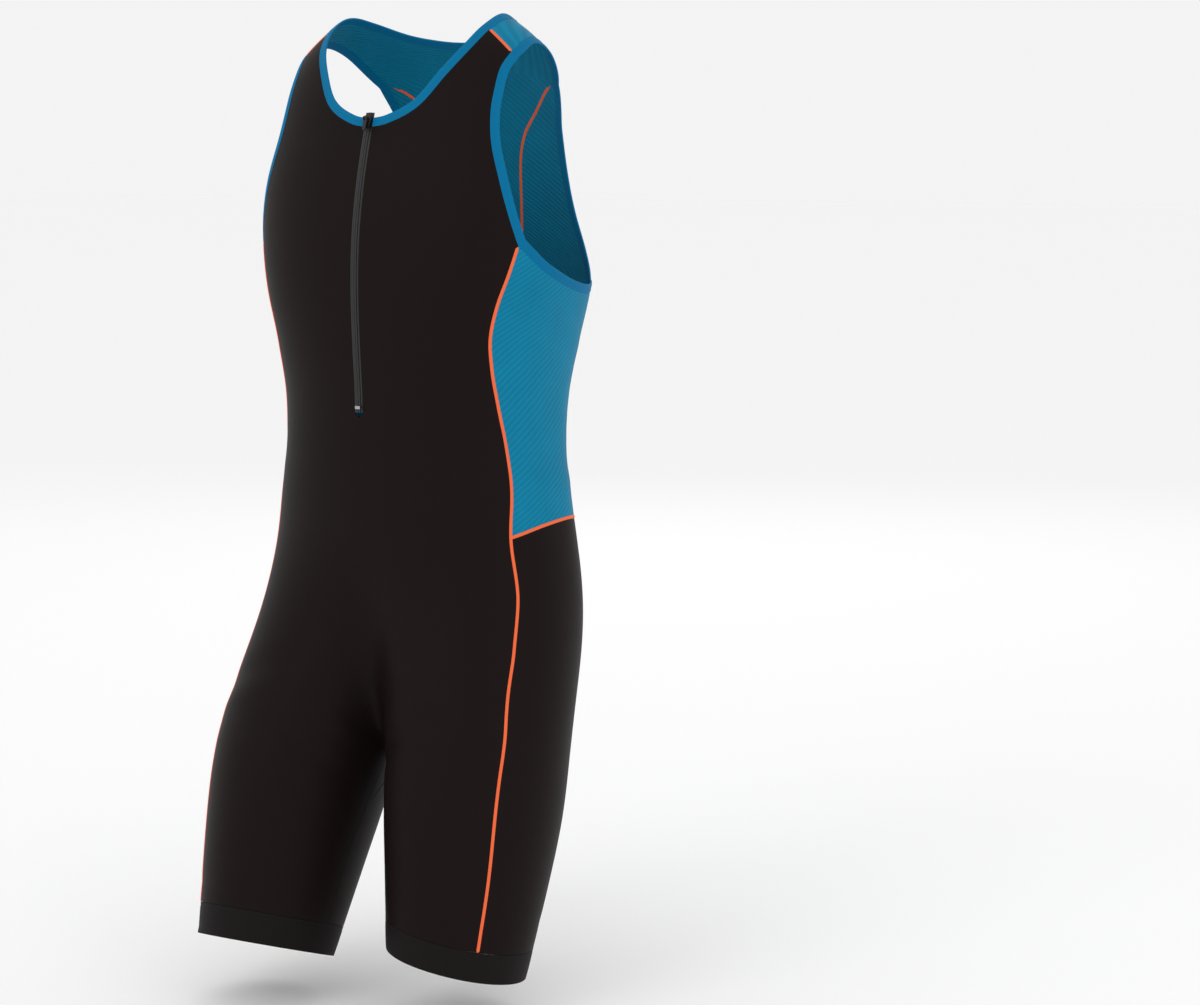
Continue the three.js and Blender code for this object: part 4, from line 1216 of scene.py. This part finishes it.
class SUIT_OT_seams(bpy.types.Operator):
    """Sews the orange flatlock seams, outside and inside."""

    bl_idname = "suit.seams"
    bl_label = "Seams"

    def execute(self, context):
        props = context.scene.suit_sewing
        inner = context.scene.suit_cloth.wall * 1000
        width, height, stitch = (x * 1000 for x in (props.width, props.height, props.stitch))
        for name, path in seam_paths().items():
            thread(name, path, width, height, stitch, thread_finish())
            thread(name + "_inside", path, width, height * 0.6, stitch, thread_finish(), inner, 1.2)
        for name in LEGS:
            pad = on_curve(PAD_STITCH, steps(*PAD_STITCH["turn"][[0, -1]], 80))
            join = marks(steps(HEM_SEAM + 0.5, HEM - 0.5, 12), BAND_JOIN)
            for key, line, high in (("pad_stitch_", pad, 0.35), ("band_join_", join, 0.8)):
                thread(key + name, place(line[:, 0], line[:, 1], name), 1.6, high, 2.6,
                       black_thread(), slot="black_knit")
        return {"FINISHED"}


class SUIT_OT_zip(bpy.types.Operator):
    """Makes the zip: tapes, coil, slider, pull and stop."""

    bl_idname = "suit.zip"
    bl_label = "Zip"

    def execute(self, context):
        props = context.scene.suit_zip
        pitch = props.pitch * 1000
        around = np.linspace(0, np.pi, 8)
        lane = np.stack([1.1 - 1.05 * np.cos(around), 0.15 + 0.75 * np.sin(around) ** 0.7], -1)
        lanes = np.concatenate([lane - [2.2, 0], lane[1:]])
        floor = np.array([[2.15, -1.4], [0.7, -1.5], [-0.7, -1.5], [-2.15, -1.4]])
        coil = np.concatenate([lanes, floor])

        def teeth(s, x):
            phase = np.where(x > 0, 0.5, 0.0)
            return -0.16 * (0.5 + 0.5 * np.cos(2 * np.pi * (s / pitch + phase)))

        zip_band("zip_chain_coil", ZIP_TOP, ZIP_FOOT, 0.26, coil[::-1], teeth, nylon(), ["zip_chain"])
        for name, side in (("left", 1), ("right", -1)):
            tape = np.array([[2.55, 0.02], [3.2, 0.06], [3.9, 0.06], [4.55, 0.02], [4.55, -0.95],
                             [2.55, -0.95]]) * [side, 1]
            tape = tape[::-1] if side > 0 else tape

            def weave(s, x):
                return 0.05 * np.cos(2 * np.pi * s / 0.9)

            zip_band("zip_tape_" + name + "_woven", ZIP_TOP, ZIP_FOOT, 0.45, tape, weave, nylon(),
                     ["zip_tape_" + name])
        paint = metal_material("black_painted_zinc", tuple(props.metal), 0.35, 0.34)
        plate = metal_material("nickel_plated_zinc", tuple(props.stop), 1.0, 0.24)
        metal_piece("zip_slider", 0.18, paint, "suit")
        metal_piece("zip_pull", 0.18, paint, "pull")
        metal_piece("zip_stop", 0.2, plate, "suit")
        return {"FINISHED"}


def area_light(name, place_at, aim, size, power):
    data = bpy.data.lights.new(name, "AREA")
    data.shape = "RECTANGLE"
    data.size, data.size_y = size
    data.energy = power
    made = bpy.data.objects.new(name, data)
    bpy.context.scene.collection.objects.link(made)
    made.location = place_at
    made.rotation_euler = (Vector(aim) - Vector(place_at)).to_track_quat("-Z", "Y").to_euler()
    return made


class SUIT_OT_stage(bpy.types.Operator):
    """Sets a pale floor, soft studio lights and the camera."""

    bl_idname = "suit.stage"
    bl_label = "Stage"

    def execute(self, context):
        props = context.scene.suit_stage
        half = FLOOR_HALF
        mesh = bpy.data.meshes.new("floor")
        z = -props.floor_drop
        mesh.from_pydata([(-half, -half, z), (half, -half, z), (half, half, z), (-half, half, z)],
                         [], [(0, 1, 2, 3)])
        floor = bpy.data.objects.new("floor", mesh)
        context.scene.collection.objects.link(floor)
        white = linear("#FFFFFF")
        paper = new_material("matt_white_paper", {"Base Color": white, "Roughness": 0.95})[0]
        mesh.materials.append(paper)

        world = bpy.data.worlds.new("studio")
        world.use_nodes = True
        context.scene.world = world
        background = world.node_tree.nodes["Background"]
        background.inputs["Color"].default_value = white
        background.inputs["Strength"].default_value = props.world

        middle = (0, 0, -0.45)
        area_light("key", (-0.6, -3.0, 1.5), middle, (1.6, 1.6), props.key)
        area_light("side_fill", (3.0, -1.2, 0.5), middle, (1.2, 2.2), props.fill)
        area_light("back_fill", (-1.4, 3.0, 1.2), middle, (2.0, 2.0), props.fill)

        lens = bpy.data.cameras.new("photo_view")
        lens.lens = VIEW["lens_mm"]
        lens.sensor_width = VIEW["sensor_mm"]
        camera = bpy.data.objects.new("photo_view", lens)
        context.scene.collection.objects.link(camera)
        azimuth, turn, pitch = (math.radians(VIEW[k]) for k in ("azimuth", "turn", "pitch"))
        camera.location = (props.distance * math.sin(azimuth), -props.distance * math.cos(azimuth),
                           VIEW["height_m"])
        camera.rotation_euler = (math.pi / 2 - pitch, 0, azimuth - turn)
        context.scene.camera = camera
        context.scene.view_settings.view_transform = "Standard"
        return {"FINISHED"}


class SUIT_PT_panel(bpy.types.Panel):
    """Lists the sizes, colours and steps of the suit."""

    bl_label = "Triathlon suit"
    bl_idname = "SUIT_PT_panel"
    bl_space_type = "VIEW_3D"
    bl_region_type = "UI"
    bl_category = "Suit"

    def draw(self, context):
        for group in PROPERTIES:
            box = self.layout.box()
            settings = getattr(context.scene, group)
            for key in settings.__annotations__:
                box.prop(settings, key)
        for operator in OPERATORS:
            self.layout.operator(operator.bl_idname)


PROPERTIES = {
    "suit_cloth": SuitCloth, "suit_sewing": SuitSewing, "suit_zip": SuitZip, "suit_stage": SuitStage,
}
OPERATORS = [
    SUIT_OT_front, SUIT_OT_back, SUIT_OT_sides, SUIT_OT_seat, SUIT_OT_bands, SUIT_OT_edging,
    SUIT_OT_seams, SUIT_OT_zip, SUIT_OT_stage,
]


def register():
    for name, group in PROPERTIES.items():
        bpy.utils.register_class(group)
        setattr(bpy.types.Scene, name, PointerProperty(type=group))
    for made in [*OPERATORS, SUIT_PT_panel]:
        bpy.utils.register_class(made)


def unregister():
    for made in [SUIT_PT_panel, *reversed(OPERATORS)]:
        bpy.utils.unregister_class(made)
    for name, group in reversed(PROPERTIES.items()):
        delattr(bpy.types.Scene, name)
        bpy.utils.unregister_class(group)


def main():
    register()
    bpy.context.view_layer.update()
    for operator in OPERATORS:
        family, step = operator.bl_idname.split(".")
        getattr(getattr(bpy.ops, family), step)()
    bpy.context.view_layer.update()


if __name__ == "__main__":
    main()
